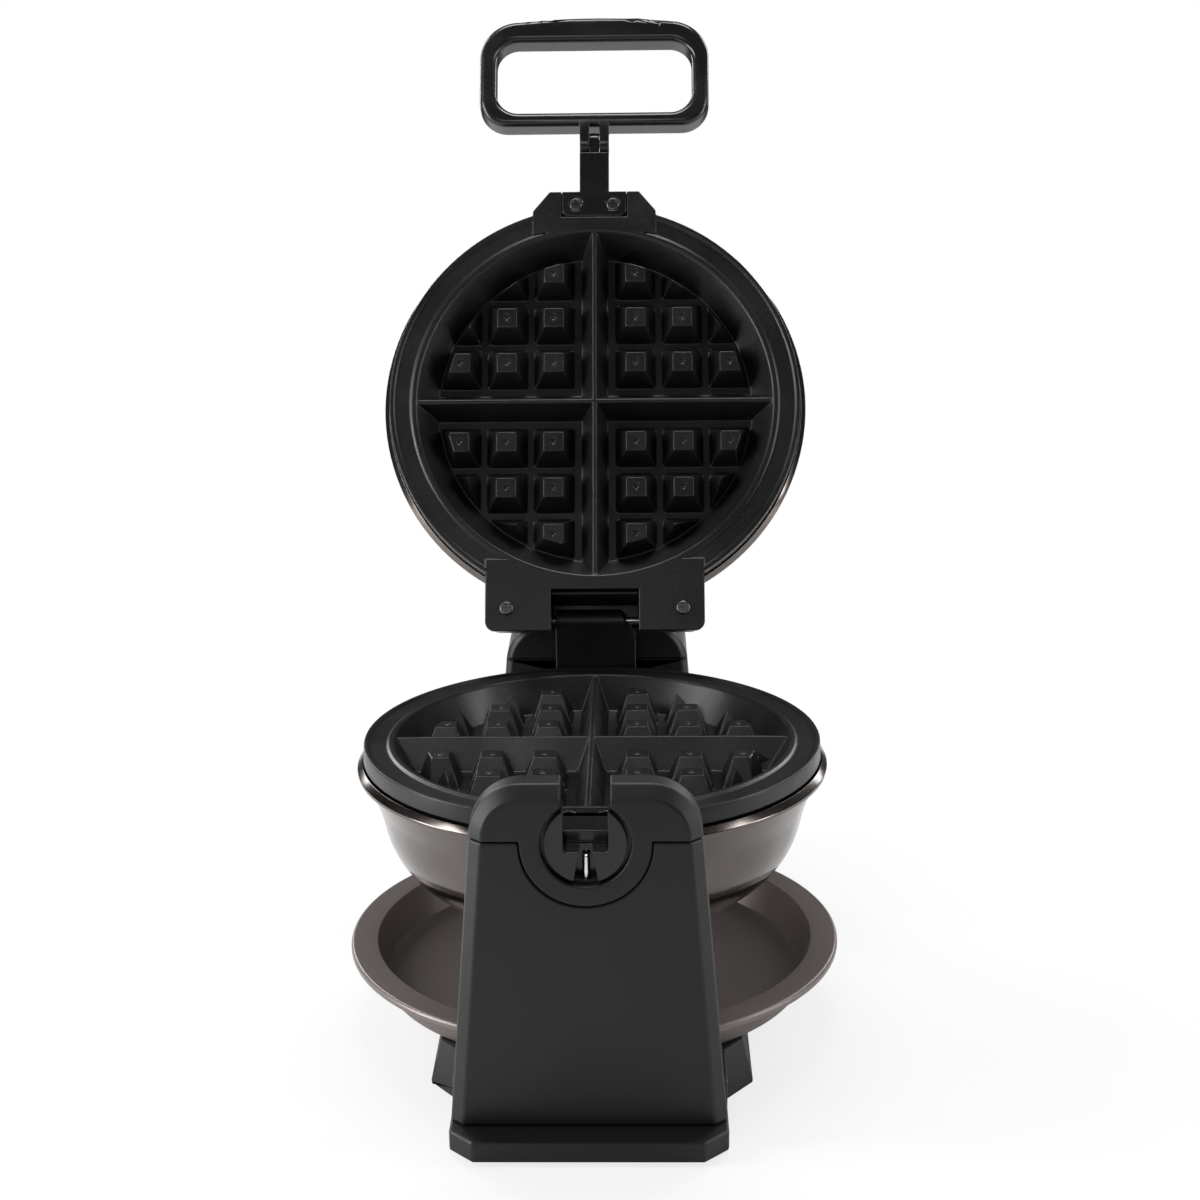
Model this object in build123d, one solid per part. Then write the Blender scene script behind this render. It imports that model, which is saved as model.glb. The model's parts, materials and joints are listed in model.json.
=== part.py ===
from build123d import *
from math import atan, cos, degrees, hypot, radians, sin, sqrt
import os

os.makedirs("parts", exist_ok=True)

# Units are millimetres. The cooking head is drawn about the middle of the plane where its two plates
# meet: +X to the right, +Y to the back, +Z up. The base is drawn in the same place. At the end all
# of it is lifted, and moved along Y, so that the table is at z = 0 and the middle of the whole
# object, with its lid open as at rest, is at x = 0, y = 0.

# Waffle plates
PLATE_GAP = 1.2
CAVITY_R = 92.0
CAVITY_FLOOR_R = 82.5
CAVITY_DEPTH = 16.0
CAVITY_EDGE_DROP = 1.2
PLATE_FLOOR = 3.5
LIP_WIDTH = 3.2
FLANGE_R = 106.8
FLANGE_SINK = 1.0
FLANGE_THICK = 2.2
RIM_WIDTH = 2.2
SKIRT_HEIGHT = 7.9
SKIRT_FLARE = 0.4
SKIRT_WALL = 2.4
PAN_WALL = 5.0
STUD_BASE = 20.7
STUD_TOP = 10.2
STUD_HEIGHT = 14.0
STUD_FIRST = 21.4
STUD_PITCH = 24.5
STUD_CIRCLE_R = 81.2
STUD_CIRCLE_DRAFT = 4.2
STUD_ROUND = 1.6
DIMPLE_BALL_R = 2.4
DIMPLE_DEPTH = 0.9
DIVIDER_BASE = 14.0
DIVIDER_TOP = 2.0
DIVIDER_DROP = 0.9

# Bowls that cover the plates, as radius and height from their rim downwards
BOWL_GAP = 3.5
BOWL_WALL = 1.2
BOWL_LIP_R = 96.8
BOWL_CURVE = [(108.8, 0.0), (104.6, 8.0), (101.2, 16.0), (97.2, 31.0), (90.0, 45.0), (77.0, 57.0)]
BEAD_R = 110.2
BEAD_EDGE = 1.6
BEAD_PEAK_R = 107.6
BEAD_FOOT_R = 106.2
BEAD_RISE = 2.6
BOWL_FLAT_R = 56.0
BOWL_DEPTH = 64.0
GASKET_R = 99.8
GASKET_WALL = 2.2

# Heating parts inside each bowl
HEATER_R = 62.0
HEATER_TUBE_R = 3.3
HEATER_SPAN = 330.0
TERMINAL_LENGTH = 14.0
TERMINAL_R = 2.2
REFLECTOR_R = 84.0
REFLECTOR_WALL = 0.8
REFLECTOR_RIM = 5.0
REFLECTOR_DROP = 13.0
STANDOFF_CIRCLE_R = 42.0
STANDOFF_COUNT = 3
STANDOFF_R = 4.5
STANDOFF_COLLAR_R = 7.0
STANDOFF_COLLAR = 2.5
THERMOSTAT_R = 9.0
THERMOSTAT_HEIGHT = 9.0
FUSE_R = 2.6
FUSE_LENGTH = 16.0
FUSE_X = 28.0

# Screws
SCREW_R = 1.9
SCREW_HEAD_R = 3.5
SCREW_HEAD = 1.8
SCREW_BITE = 8.0
SMALL_HEAD_R = 2.6
CROSS_WIDTH = 0.9
CROSS_DEPTH = 1.0
CROSS_LENGTH = 4.2

# Clearances
SEAT_GAP = 0.3
RUN_GAP = 0.05
FIT_GAP = 0.02
SCREW_GAP = 0.2

# Turning axis of the cooking head and its bearings
AXIS_DROP = 2.0
DRUM_R = 17.2
DRUM_FRONT_Y = -132.9
DRUM_LENGTH = 14.5
CHANNEL_HALF = 9.3
CHANNEL_DEPTH = 5.7
CHANNEL_LENGTH = 12.0
CHANNEL_ROUND = 1.5
PIN_SLOT_HALF = 2.7
PIN_SLOT_FLARE = 5.4
PIN_SLOT_LENGTH = 9.6
TONGUE_HALF = 11.0
TONGUE_Y = -94.8
TONGUE_THICK = 2.8
TONGUE_SCREW_X = 7.9
TONGUE_SCREW_Y = -101.5
NECK_BLOCK_DROP = 14.0
BUSH_WALL = 1.6
BUSH_LENGTH = 10.0
BUSH_INSET = 4.5

# Lid hinge
HINGE_Y = 112.5
HINGE_Z = 22.3
OPEN_ANGLE = 116.8
HINGE_PIN_R = 2.0
KNUCKLE_R = 6.0
ARM_HALF = 20.7
ARM_CORNER = 8.0
NOTCH_HALF = 22.5
NOTCH_Y = 100.0
LUG_HALF = 56.0
LUG_BACK_Y = 121.5
LUG_THICK = 3.0
LUG_ROUND = 5.0
LUG_SCREW_X = 45.0
LUG_SCREW_Y = 110.0
EAR_TOP_Z = 30.0
BRIDGE = 5.0
BRIDGE_BACK_Y = 110.0
EAR_SLOPE_FOOT_Z = 8.0
EAR_SLOPE = 7.3
BRACKET_HALF = 30.0
BRACKET_DROP = 46.0
BRACKET_PLATE = 5.0
BRACKET_CASTING_IN = 12.0
BRACKET_SCREW_X = 22.0
BRACKET_SCREW_Z = -36.0
TRUNNION_R = 10.0
TRUNNION_HOLE_GAP = 1.0
TRUNNION_BORE_R = 6.0
TRUNNION_BOSS_R = 14.0
TRUNNION_BOSS = 5.0
TRUNNION_END_Y = 160.0

# Handle
FRONT_LUG_HALF = 32.5
FRONT_LUG_TIP_HALF = 23.6
FRONT_LUG_Y = -115.0
FRONT_LUG_THICK = 8.0
FRONT_LUG_SHOULDER = 3.0
NECK_PLATE_HALF = 17.0
NECK_PLATE_Y = -101.2
NECK_PLATE_THICK = 2.6
NECK_PLATE_ROUND = 4.0
NECK_SCREW_X = 9.8
NECK_SCREW_Y = -108.0
NECK_HALF = 7.7
NECK_THICK = 14.0
NECK_ROUND = 3.0
HANDLE_PIVOT_Y = -145.0
HANDLE_PIVOT_Z = 8.5
KNUCKLE_EAR_R = 7.6
KNUCKLE_STEP = 2.0
NECK_TONGUE_HALF = 2.5
HANDLE_PIN_R = 2.0
LOOP_HALF = 61.5
LOOP_NEAR_Y = -153.0
LOOP_FAR_Y = -215.0
LOOP_INNER_HALF = 52.5
LOOP_INNER_NEAR_Y = -160.5
LOOP_INNER_FAR_Y = -201.3
LOOP_THICK = 16.0
LOOP_ARCH = 4.5
LOOP_ROUND = 21.0
LOOP_NEAR_ROUND = 15.0
LOOP_INNER_ROUND = 12.0
LOOP_EDGE = 3.5

# Front tower
TOWER_BACK_Y = -117.5
TOWER_FRONT_Y = -133.5
TOWER_TOP_Z = 22.9
TOWER_TOP_HALF = 46.6
TOWER_SHOULDER = 22.5
TOWER_FOOT_HALF = 59.3
TOWER_FACE_TOP_HALF = 42.3
TOWER_FACE_FOOT_HALF = 50.2
TOWER_BEVEL = 5.4
TOWER_WALL = 3.0
CAP_SEAM_Z = -0.9
CAP_LOBE_R = 27.5
CAP_SLOT_HALF = 10.3
SEAM_GAP = 0.3
BORE_GAP = 1.7
CAP_SCREW_X = 36.0
CAP_STEP = 4.0

# Rear tower
REAR_FRONT_Y = 125.0
REAR_BACK_Y = 178.0
REAR_TOP_Z = 17.0
REAR_TOP_HALF = 46.0
REAR_SHOULDER = 22.0
PEDESTAL_Y = 130.0
PEDESTAL_LENGTH = 14.0
PEDESTAL_HALF = 23.0
REAR_BUSH_WALL = 2.4
KEEPER_THICK = 2.6
KEEPER_SCREW_X = 19.0
GLAND_R = 7.0
GLAND_STEP = 1.5
GLAND_COLLAR = 2.0
GLAND_BORE_R = 3.6
GLAND_Z = 16.0
TERMINAL_BLOCK = (36.0, 14.0, 16.0)
TERMINAL_BLOCK_INSET = 6.0
TERMINAL_PITCH = 10.5
TERMINAL_WELL = 3.0

# Lock pin in the front tower
LOCK_PIN_R = 1.65
LOCK_PIN_TOP = 7.0
LOCK_PIN_INSET = 7.0
LOCK_PIN_FOOT = 42.0
LOCK_COLLAR_R = 2.8
LOCK_COLLAR = 2.0
LOCK_COLLAR_DROP = 33.0
GUIDE_HALF = 6.0
GUIDE_LENGTH = 26.0
SPRING_R = 2.2
SPRING_WIRE_R = 0.3
SPRING_TURNS = 7
LOCK_WELL = 5.0

# Drip tray
TRAY_R = 116.6
TRAY_RIM_DROP = 99.6
TRAY_RIM_INNER_R = 103.8
TRAY_FLOOR_R = 99.3
TRAY_DEPTH = 16.9
TRAY_WALL = 1.8
TRAY_SKIRT = 3.2

# Base
FLOOR_DROP = 141.5
BASE_RISE = 1.5
BASE_WALL = 3.0
MID_HALF_X = 73.0
MID_HALF_Y = 78.0
MID_NOSE = 17.0
MID_DRAFT = 5.0
NECK_BASE_HALF = 59.6
PLINTH_RISE = 11.0
PLINTH_FRONT_Y = -147.5
PLINTH_BACK_Y = 184.0
PLINTH_CHAMFER = 10.5
BASE_FILLET = 3.0
COVER_THICK = 1.2
COVER_INSET = 0.4
FOOT_R = 9.0
FOOT_STUB_R = 3.0
FOOT_STUB = 3.0
FOOT_X = 46.0
FOOT_FRONT_Y = -128.0
FOOT_BACK_Y = 164.0
COVER_SCREW_X = 52.0
COVER_SCREW_Y = 62.0
BOSS_R = 4.6
WEB_HALF = 1.0
TOWER_SCREW_X = 36.0
REAR_SCREW_Y = 166.0

HALF_GAP = PLATE_GAP / 2
FLOOR_Z = -CAVITY_DEPTH - HALF_GAP
PLATE_UNDER_Z = FLOOR_Z - PLATE_FLOOR
FLANGE_TOP_Z = -HALF_GAP - FLANGE_SINK
FLANGE_UNDER_Z = FLANGE_TOP_Z - FLANGE_THICK
SKIRT_Z = -HALF_GAP - SKIRT_HEIGHT
SKIRT_R = FLANGE_R + SKIRT_FLARE
BOWL_TOP_Z = SKIRT_Z - BOWL_GAP
BOWL_FLOOR_Z = BOWL_TOP_Z - BOWL_DEPTH
HEAD_CLEAR_R = BEAD_R + SEAT_GAP
AXIS_Z = -AXIS_DROP
BORE_R = DRUM_R + BORE_GAP
TABLE_Z = -FLOOR_DROP
BASE_BOTTOM_Z = TABLE_Z + BASE_RISE
PLINTH_TOP_Z = TABLE_Z + PLINTH_RISE
TRAY_RIM_Z = -TRAY_RIM_DROP
TRAY_BOTTOM_Z = TRAY_RIM_Z - TRAY_DEPTH - TRAY_WALL
DECK_Z = TRAY_BOTTOM_Z - SEAT_GAP
LOCK_PIN_Y = DRUM_FRONT_Y + LOCK_PIN_INSET
REFLECTOR_Z = PLATE_UNDER_Z - REFLECTOR_DROP


def spun(points):
    """A solid of revolution about Z from (radius, height) points."""
    return revolve(Plane.XZ * make_face(Polyline(*points, close=True)), Axis.Z)


def block(x0, x1, y0, y1, z0, z1):
    """A box between two corners."""
    corner = Align.MIN
    return Pos(x0, y0, z0) * Box(x1 - x0, y1 - y0, z1 - z0, align=(corner, corner, corner))


def rod(radius, low, high, place=(0, 0)):
    """An upright cylinder between two heights."""
    return Pos(place[0], place[1], low) * Cylinder(
        radius, high - low, align=(Align.CENTER, Align.CENTER, Align.MIN)
    )


def axle_y(radius, y0, y1, x=0, z=0):
    """A cylinder along Y between two places."""
    return Pos(x, y1, z) * Rot(90, 0, 0) * Cylinder(
        radius, y1 - y0, align=(Align.CENTER, Align.CENTER, Align.MIN)
    )


def axle_x(radius, x0, x1, y=0, z=0):
    """A cylinder along X between two places."""
    return Pos(x0, y, z) * Rot(0, 90, 0) * Cylinder(
        radius, x1 - x0, align=(Align.CENTER, Align.CENTER, Align.MIN)
    )


def slab_x(points, x0, x1):
    """A prism along X whose outline is given as (y, z) points."""
    face = make_face(Polyline(*points, close=True))
    return Pos(x0, 0, 0) * extrude(Plane.YZ * face, amount=x1 - x0)


def slab_y(face, y0, y1):
    """A prism along Y from a face drawn as (x, z)."""
    return Pos(0, y1, 0) * extrude(Plane.XZ * face, amount=y1 - y0)


def screw(length=SCREW_BITE, head_r=SCREW_HEAD_R):
    """A cross-head screw, its head's underside at z = 0 and its shank downwards."""
    head = rod(head_r, 0, SCREW_HEAD)
    head = fillet(head.edges().group_by(Axis.Z)[-1], SCREW_HEAD * 0.5)
    cross = Box(CROSS_LENGTH, CROSS_WIDTH, 2 * CROSS_DEPTH)
    cross += Rot(0, 0, 90) * cross
    return head + rod(SCREW_R, -length, 0) - Pos(0, 0, SCREW_HEAD) * cross


def union(pieces):
    """Separate solids kept side by side in one node."""
    return Compound(children=[s for piece in pieces for s in piece.solids()])


def stud():
    """One pyramid of the waffle grid, standing on z = 0."""
    taper = degrees(atan((STUD_BASE - STUD_TOP) / (2 * STUD_HEIGHT)))
    body = extrude(RectangleRounded(STUD_BASE, STUD_BASE, STUD_ROUND), STUD_HEIGHT, taper=taper)
    body = fillet(body.edges().group_by(Axis.Z)[-1], STUD_ROUND / 3)
    return body


def stud_places():
    """Centres of the whole studs and of the ones that the plate's edge cuts, in one quadrant."""
    line = [STUD_FIRST + STUD_PITCH * i for i in range(3)]
    whole = []
    cut = []
    for i, x in enumerate(line):
        for j, y in enumerate(line):
            if i + j <= 2:
                whole.append((x, y))
            elif i + j == 3:
                cut.append((x, y))
    return whole, cut


def waffle_plate():
    """The lower plate: pan, flange, skirt, divider cross and grid of studs."""
    lip_r = CAVITY_R + LIP_WIDTH
    pan = spun(
        [
            (0, FLOOR_Z),
            (CAVITY_FLOOR_R, FLOOR_Z),
            (CAVITY_R, -HALF_GAP - CAVITY_EDGE_DROP),
            (CAVITY_R + LIP_WIDTH / 3, -HALF_GAP),
            (lip_r, -HALF_GAP),
            (lip_r + FLANGE_SINK, FLANGE_TOP_Z),
            (FLANGE_R - RIM_WIDTH - FLANGE_SINK / 2, FLANGE_TOP_Z),
            (FLANGE_R - RIM_WIDTH, -HALF_GAP),
            (FLANGE_R, -HALF_GAP),
            (SKIRT_R, SKIRT_Z),
            (SKIRT_R - SKIRT_WALL, SKIRT_Z),
            (FLANGE_R - SKIRT_WALL, FLANGE_UNDER_Z),
            (CAVITY_FLOOR_R + PAN_WALL + CAVITY_DEPTH / 2, FLANGE_UNDER_Z),
            (CAVITY_FLOOR_R + PAN_WALL, PLATE_UNDER_Z),
            (0, PLATE_UNDER_Z),
        ]
    )
    inside = spun(
        [
            (0, FLOOR_Z - 1),
            (CAVITY_FLOOR_R + 1, FLOOR_Z - 1),
            (CAVITY_R + 1, -HALF_GAP - CAVITY_EDGE_DROP),
            (0, -HALF_GAP),
        ]
    )
    ridge = make_face(
        Polyline(
            (-DIVIDER_BASE / 2, FLOOR_Z - 1),
            (DIVIDER_BASE / 2, FLOOR_Z - 1),
            (DIVIDER_TOP / 2, -HALF_GAP - DIVIDER_DROP),
            (-DIVIDER_TOP / 2, -HALF_GAP - DIVIDER_DROP),
            close=True,
        )
    )
    along_y = slab_y(ridge, -CAVITY_R - 1, CAVITY_R + 1)
    cross = (along_y + Rot(0, 0, 90) * along_y) & inside
    whole, cut = stud_places()
    one = stud()
    ring = spun(
        [
            (0, FLOOR_Z),
            (STUD_CIRCLE_R, FLOOR_Z),
            (STUD_CIRCLE_R - STUD_CIRCLE_DRAFT, 0),
            (0, 0),
        ]
    )
    grid = []
    dimples = []
    ball_z = FLOOR_Z + STUD_HEIGHT + DIMPLE_BALL_R - DIMPLE_DEPTH
    for quadrant in range(4):
        turn = Rot(0, 0, 90 * quadrant)
        for x, y in whole:
            grid.append(turn * Pos(x, y, FLOOR_Z) * one)
            dimples.append(turn * Pos(x, y, ball_z) * Sphere(DIMPLE_BALL_R))
        for x, y in cut:
            grid.append(turn * Pos(x, y, FLOOR_Z) * one)
    trimmed = [piece & ring for piece in grid]
    return pan + [cross] + trimmed - dimples


def bowl_points():
    """The bowl's outer curve as (radius, height) below the split plane."""
    return [(r, BOWL_TOP_Z - drop) for r, drop in BOWL_CURVE] + [(BOWL_FLAT_R, BOWL_FLOOR_Z)]


def inward(points, depth):
    """The same curve moved inwards by a wall."""
    moved = []
    for i, (r, z) in enumerate(points):
        r0, z0 = points[max(i - 1, 0)]
        r1, z1 = points[min(i + 1, len(points) - 1)]
        run = hypot(r1 - r0, z1 - z0)
        moved.append((r + (z1 - z0) / run * depth, z - (r1 - r0) / run * depth))
    moved[-1] = (points[-1][0], points[-1][1] + depth)
    return moved


def bowl_solid(grow=0.0):
    """The filled shape of the bowl, grown sideways and downwards for what is cut to fit it."""
    outer = [(r + grow, z - grow) for r, z in bowl_points()]
    side = Spline(*outer, tangents=[(-0.55, -0.8), (-1, 0)])
    rest = Polyline(outer[-1], (0, outer[-1][1]), (0, BOWL_TOP_Z), (outer[0][0], BOWL_TOP_Z), outer[0])
    return revolve(Plane.XZ * make_face(side + rest), Axis.Z)


def bowl_shell():
    """The pressed bowl with its flat floor and the lip that carries the plate's gasket."""
    outer = bowl_points()
    inner = inward(outer, BOWL_WALL)
    inner[0] = (outer[0][0] - BOWL_WALL, BOWL_TOP_Z - BOWL_WALL)
    outer_side = Spline(*outer, tangents=[(-0.55, -0.8), (-1, 0)])
    inner_side = Spline(*inner, tangents=[(-0.55, -0.8), (-1, 0)])
    under = Polyline(outer[-1], (0, outer[-1][1]), (0, inner[-1][1]), inner[-1])
    lip = Polyline(
        inner[0],
        (BOWL_LIP_R, BOWL_TOP_Z - BOWL_WALL),
        (BOWL_LIP_R, BOWL_TOP_Z),
        outer[0],
    )
    shell = revolve(Plane.XZ * make_face(outer_side + under + inner_side + lip), Axis.Z)
    shell += spun(
        [
            (BEAD_FOOT_R, BOWL_TOP_Z - BOWL_WALL / 2),
            (BEAD_FOOT_R, BOWL_TOP_Z),
            (BEAD_PEAK_R, BOWL_TOP_Z + BEAD_RISE),
            (BEAD_R, BOWL_TOP_Z),
            (BEAD_R, BOWL_TOP_Z - BEAD_EDGE),
            (outer[0][0] - BOWL_WALL, BOWL_TOP_Z - BEAD_EDGE),
            (outer[0][0] - BOWL_WALL, BOWL_TOP_Z - BOWL_WALL / 2),
        ]
    )
    for x, y in standoff_places():
        shell -= rod(SCREW_R + SCREW_GAP, BOWL_FLOOR_Z - 1, BOWL_FLOOR_Z + 2 * BOWL_WALL, (x, y))
    return shell


def standoff_places():
    """Centres of the posts between plate and bowl."""
    step = 360 / STANDOFF_COUNT
    angles = [radians(90 + step * i) for i in range(STANDOFF_COUNT)]
    return [(STANDOFF_CIRCLE_R * cos(a), STANDOFF_CIRCLE_R * sin(a)) for a in angles]


def bowl_radius(z):
    """The bowl's outer radius at a height, along straight lines between its drawn points."""
    points = bowl_points()
    for (r0, z0), (r1, z1) in zip(points, points[1:]):
        if z1 <= z <= z0:
            return r0 + (r1 - r0) * (z - z0) / (z1 - z0)
    return points[-1][0]


def bracket_screw_seat():
    """Where the heads of the hinge bracket's screws rest inside the lower bowl, along Y."""
    reach = sqrt(bowl_radius(BRACKET_SCREW_Z) ** 2 - BRACKET_SCREW_X**2)
    return reach - 2 * BOWL_WALL - SEAT_GAP


def bracket_screws():
    """The screws from inside the lower bowl into the hinge bracket."""
    turned = Rot(90, 0, 0) * screw(SCREW_BITE + BOWL_WALL)
    y = bracket_screw_seat()
    return union([Pos(side * BRACKET_SCREW_X, y, BRACKET_SCREW_Z) * turned for side in (-1, 1)])


def lower_bowl():
    """The lower bowl, bored for the hinge bracket's screws."""
    bowl = bowl_shell()
    for side in (-1, 1):
        x = side * BRACKET_SCREW_X
        bowl -= axle_y(SCREW_R + SCREW_GAP, CAVITY_FLOOR_R, FLANGE_R, x, BRACKET_SCREW_Z)
    return bowl


def gasket():
    """The insulating ring between the plate's flange and the bowl's lip."""
    outer = rod(GASKET_R, BOWL_TOP_Z, FLANGE_UNDER_Z)
    return outer - rod(GASKET_R - GASKET_WALL, BOWL_TOP_Z - 1, FLANGE_UNDER_Z + 1)


def lower_gasket():
    """The lower ring, open where the plate's boss for the trunnion's tongue stands."""
    half = TONGUE_HALF + 2 * SEAT_GAP
    return gasket() - block(-half, half, -FLANGE_R, 0, BOWL_TOP_Z - 1, 0)


def heater():
    """The tubular element under the plate, with its two terminals turned down."""
    z = PLATE_UNDER_Z - HEATER_TUBE_R
    section = Plane.XZ * Pos(HEATER_R, z) * Circle(HEATER_TUBE_R)
    tube = Rot(0, 0, -90 + (360 - HEATER_SPAN) / 2) * revolve(section, Axis.Z, HEATER_SPAN)
    for side in (-1, 1):
        a = radians(-90 + side * (360 - HEATER_SPAN) / 2)
        place = (HEATER_R * cos(a), HEATER_R * sin(a))
        tube += rod(TERMINAL_R, z - TERMINAL_LENGTH, z, place)
    return tube


def reflector():
    """The thin dish that throws heat back to the plate."""
    dish = spun(
        [
            (0, REFLECTOR_Z),
            (REFLECTOR_R, REFLECTOR_Z),
            (REFLECTOR_R + REFLECTOR_RIM / 2, REFLECTOR_Z + REFLECTOR_RIM),
            (REFLECTOR_R + REFLECTOR_RIM / 2 + REFLECTOR_WALL, REFLECTOR_Z + REFLECTOR_RIM),
            (REFLECTOR_R + REFLECTOR_WALL, REFLECTOR_Z - REFLECTOR_WALL),
            (0, REFLECTOR_Z - REFLECTOR_WALL),
        ]
    )
    low = REFLECTOR_Z - 2 * REFLECTOR_WALL
    high = REFLECTOR_Z + REFLECTOR_WALL
    for place in standoff_places():
        dish -= rod(STANDOFF_R + SCREW_GAP, low, high, place)
    for side in (-1, 1):
        a = radians(-90 + side * (360 - HEATER_SPAN) / 2)
        dish -= rod(2 * TERMINAL_R, low, high, (HEATER_R * cos(a), HEATER_R * sin(a)))
    return dish


def standoffs():
    """The posts that hold the bowl to the plate and carry the reflector on their collars."""
    top = PLATE_UNDER_Z
    foot = BOWL_FLOOR_Z + BOWL_WALL
    collar_top = REFLECTOR_Z - REFLECTOR_WALL
    posts = []
    for place in standoff_places():
        post = rod(STANDOFF_R, foot, top, place)
        post += rod(STANDOFF_COLLAR_R, collar_top - STANDOFF_COLLAR, collar_top, place)
        posts.append(post - rod(SCREW_R + FIT_GAP, foot - 1, foot + SCREW_BITE, place))
    return union(posts)


def bowl_screws():
    """The screws through the bowl's floor into the posts."""
    turned = Rot(180, 0, 0) * screw(SCREW_BITE)
    return union([Pos(x, y, BOWL_FLOOR_Z) * turned for x, y in standoff_places()])


def thermostat():
    """The thermostat button pressed to the middle of the plate, with its two tabs."""
    body = rod(THERMOSTAT_R, PLATE_UNDER_Z - THERMOSTAT_HEIGHT, PLATE_UNDER_Z)
    tab_z = PLATE_UNDER_Z - THERMOSTAT_HEIGHT / 2
    for side in (-1, 1):
        x = side * THERMOSTAT_R
        body += Pos(x, 0, tab_z) * Box(THERMOSTAT_R, THERMOSTAT_R / 2, 1.0)
    return body


def thermal_fuse():
    """The thermal fuse in its clip under the plate."""
    z = PLATE_UNDER_Z - FUSE_R
    fuse = axle_y(FUSE_R, -FUSE_LENGTH / 2, FUSE_LENGTH / 2, FUSE_X, z)
    clip = Pos(FUSE_X, 0, z) * Box(4 * FUSE_R, FUSE_LENGTH / 3, 2 * FUSE_R)
    return fuse + clip


def lower_plate():
    """The lower plate with the recess and boss for the front trunnion's tongue."""
    half = TONGUE_HALF + SEAT_GAP
    cut_z = -HALF_GAP - TONGUE_THICK - SEAT_GAP
    plate = waffle_plate() - block(-half, half, -HEAD_CLEAR_R, TONGUE_Y + SEAT_GAP, cut_z, 1)
    boss = block(
        -half, half, TONGUE_SCREW_Y - SMALL_HEAD_R, -CAVITY_R, cut_z - SCREW_BITE, cut_z
    ) - spun(
        [
            (0, PLATE_UNDER_Z),
            (CAVITY_FLOOR_R, PLATE_UNDER_Z),
            (CAVITY_R, FLANGE_UNDER_Z),
            (0, FLANGE_UNDER_Z),
        ]
    )
    plate += boss
    for side in (-1, 1):
        place = (side * TONGUE_SCREW_X, TONGUE_SCREW_Y)
        plate -= rod(SCREW_R + FIT_GAP, cut_z - SCREW_BITE - 1, cut_z + 1, place)
    return plate


def lid_plate():
    """The upper plate, drawn closed, with its two hinge lugs and its front lug."""
    plate = mirror(waffle_plate(), about=Plane.XY)
    low = HALF_GAP
    inner = rod(CAVITY_R + LIP_WIDTH, -1, LUG_THICK + FRONT_LUG_THICK + 1)
    rear = RectangleRounded(2 * LUG_HALF, 2 * (LUG_BACK_Y - CAVITY_R), LUG_ROUND)
    rear = Pos(0, CAVITY_R, low) * extrude(rear, LUG_THICK)
    front = make_face(
        Polyline(
            (-FRONT_LUG_HALF, -CAVITY_R),
            (-FRONT_LUG_HALF, NECK_PLATE_Y - FRONT_LUG_SHOULDER),
            (-FRONT_LUG_TIP_HALF, FRONT_LUG_Y),
            (FRONT_LUG_TIP_HALF, FRONT_LUG_Y),
            (FRONT_LUG_HALF, NECK_PLATE_Y - FRONT_LUG_SHOULDER),
            (FRONT_LUG_HALF, -CAVITY_R),
            close=True,
        )
    )
    front = Pos(0, 0, low) * extrude(front, FRONT_LUG_THICK)
    behind = block(-LUG_HALF, LUG_HALF, CAVITY_R - 40, CAVITY_R - 8, -1, LUG_THICK + 2)
    front -= rod(GASKET_R + SEAT_GAP, low + LUG_THICK, low + FRONT_LUG_THICK + 1)
    plate = plate + (rear - inner - behind) + (front - inner)
    plate -= block(-NOTCH_HALF, NOTCH_HALF, NOTCH_Y, LUG_BACK_Y + 1, -1, SKIRT_HEIGHT + 2)
    pocket_half = NECK_PLATE_HALF + SEAT_GAP
    pocket_z = low + NECK_PLATE_THICK
    plate -= block(
        -pocket_half, pocket_half, FRONT_LUG_Y - 1, NECK_PLATE_Y + SEAT_GAP, -1, pocket_z
    )
    for side in (-1, 1):
        plate -= rod(SCREW_R + FIT_GAP, 0, low + FRONT_LUG_THICK, (side * NECK_SCREW_X, NECK_SCREW_Y))
        plate -= rod(SCREW_R + SCREW_GAP, 0, low + LUG_THICK + 1, (side * LUG_SCREW_X, LUG_SCREW_Y))
    return plate


def lid_bowl():
    """The lid's bowl, drawn closed, cut away at the back where the hinge arm stands."""
    half = NOTCH_HALF + SEAT_GAP
    bowl = mirror(bowl_shell(), about=Plane.XY)
    return bowl - block(-half, half, NOTCH_Y, LUG_BACK_Y, 0, EAR_TOP_Z + 1)


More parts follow.
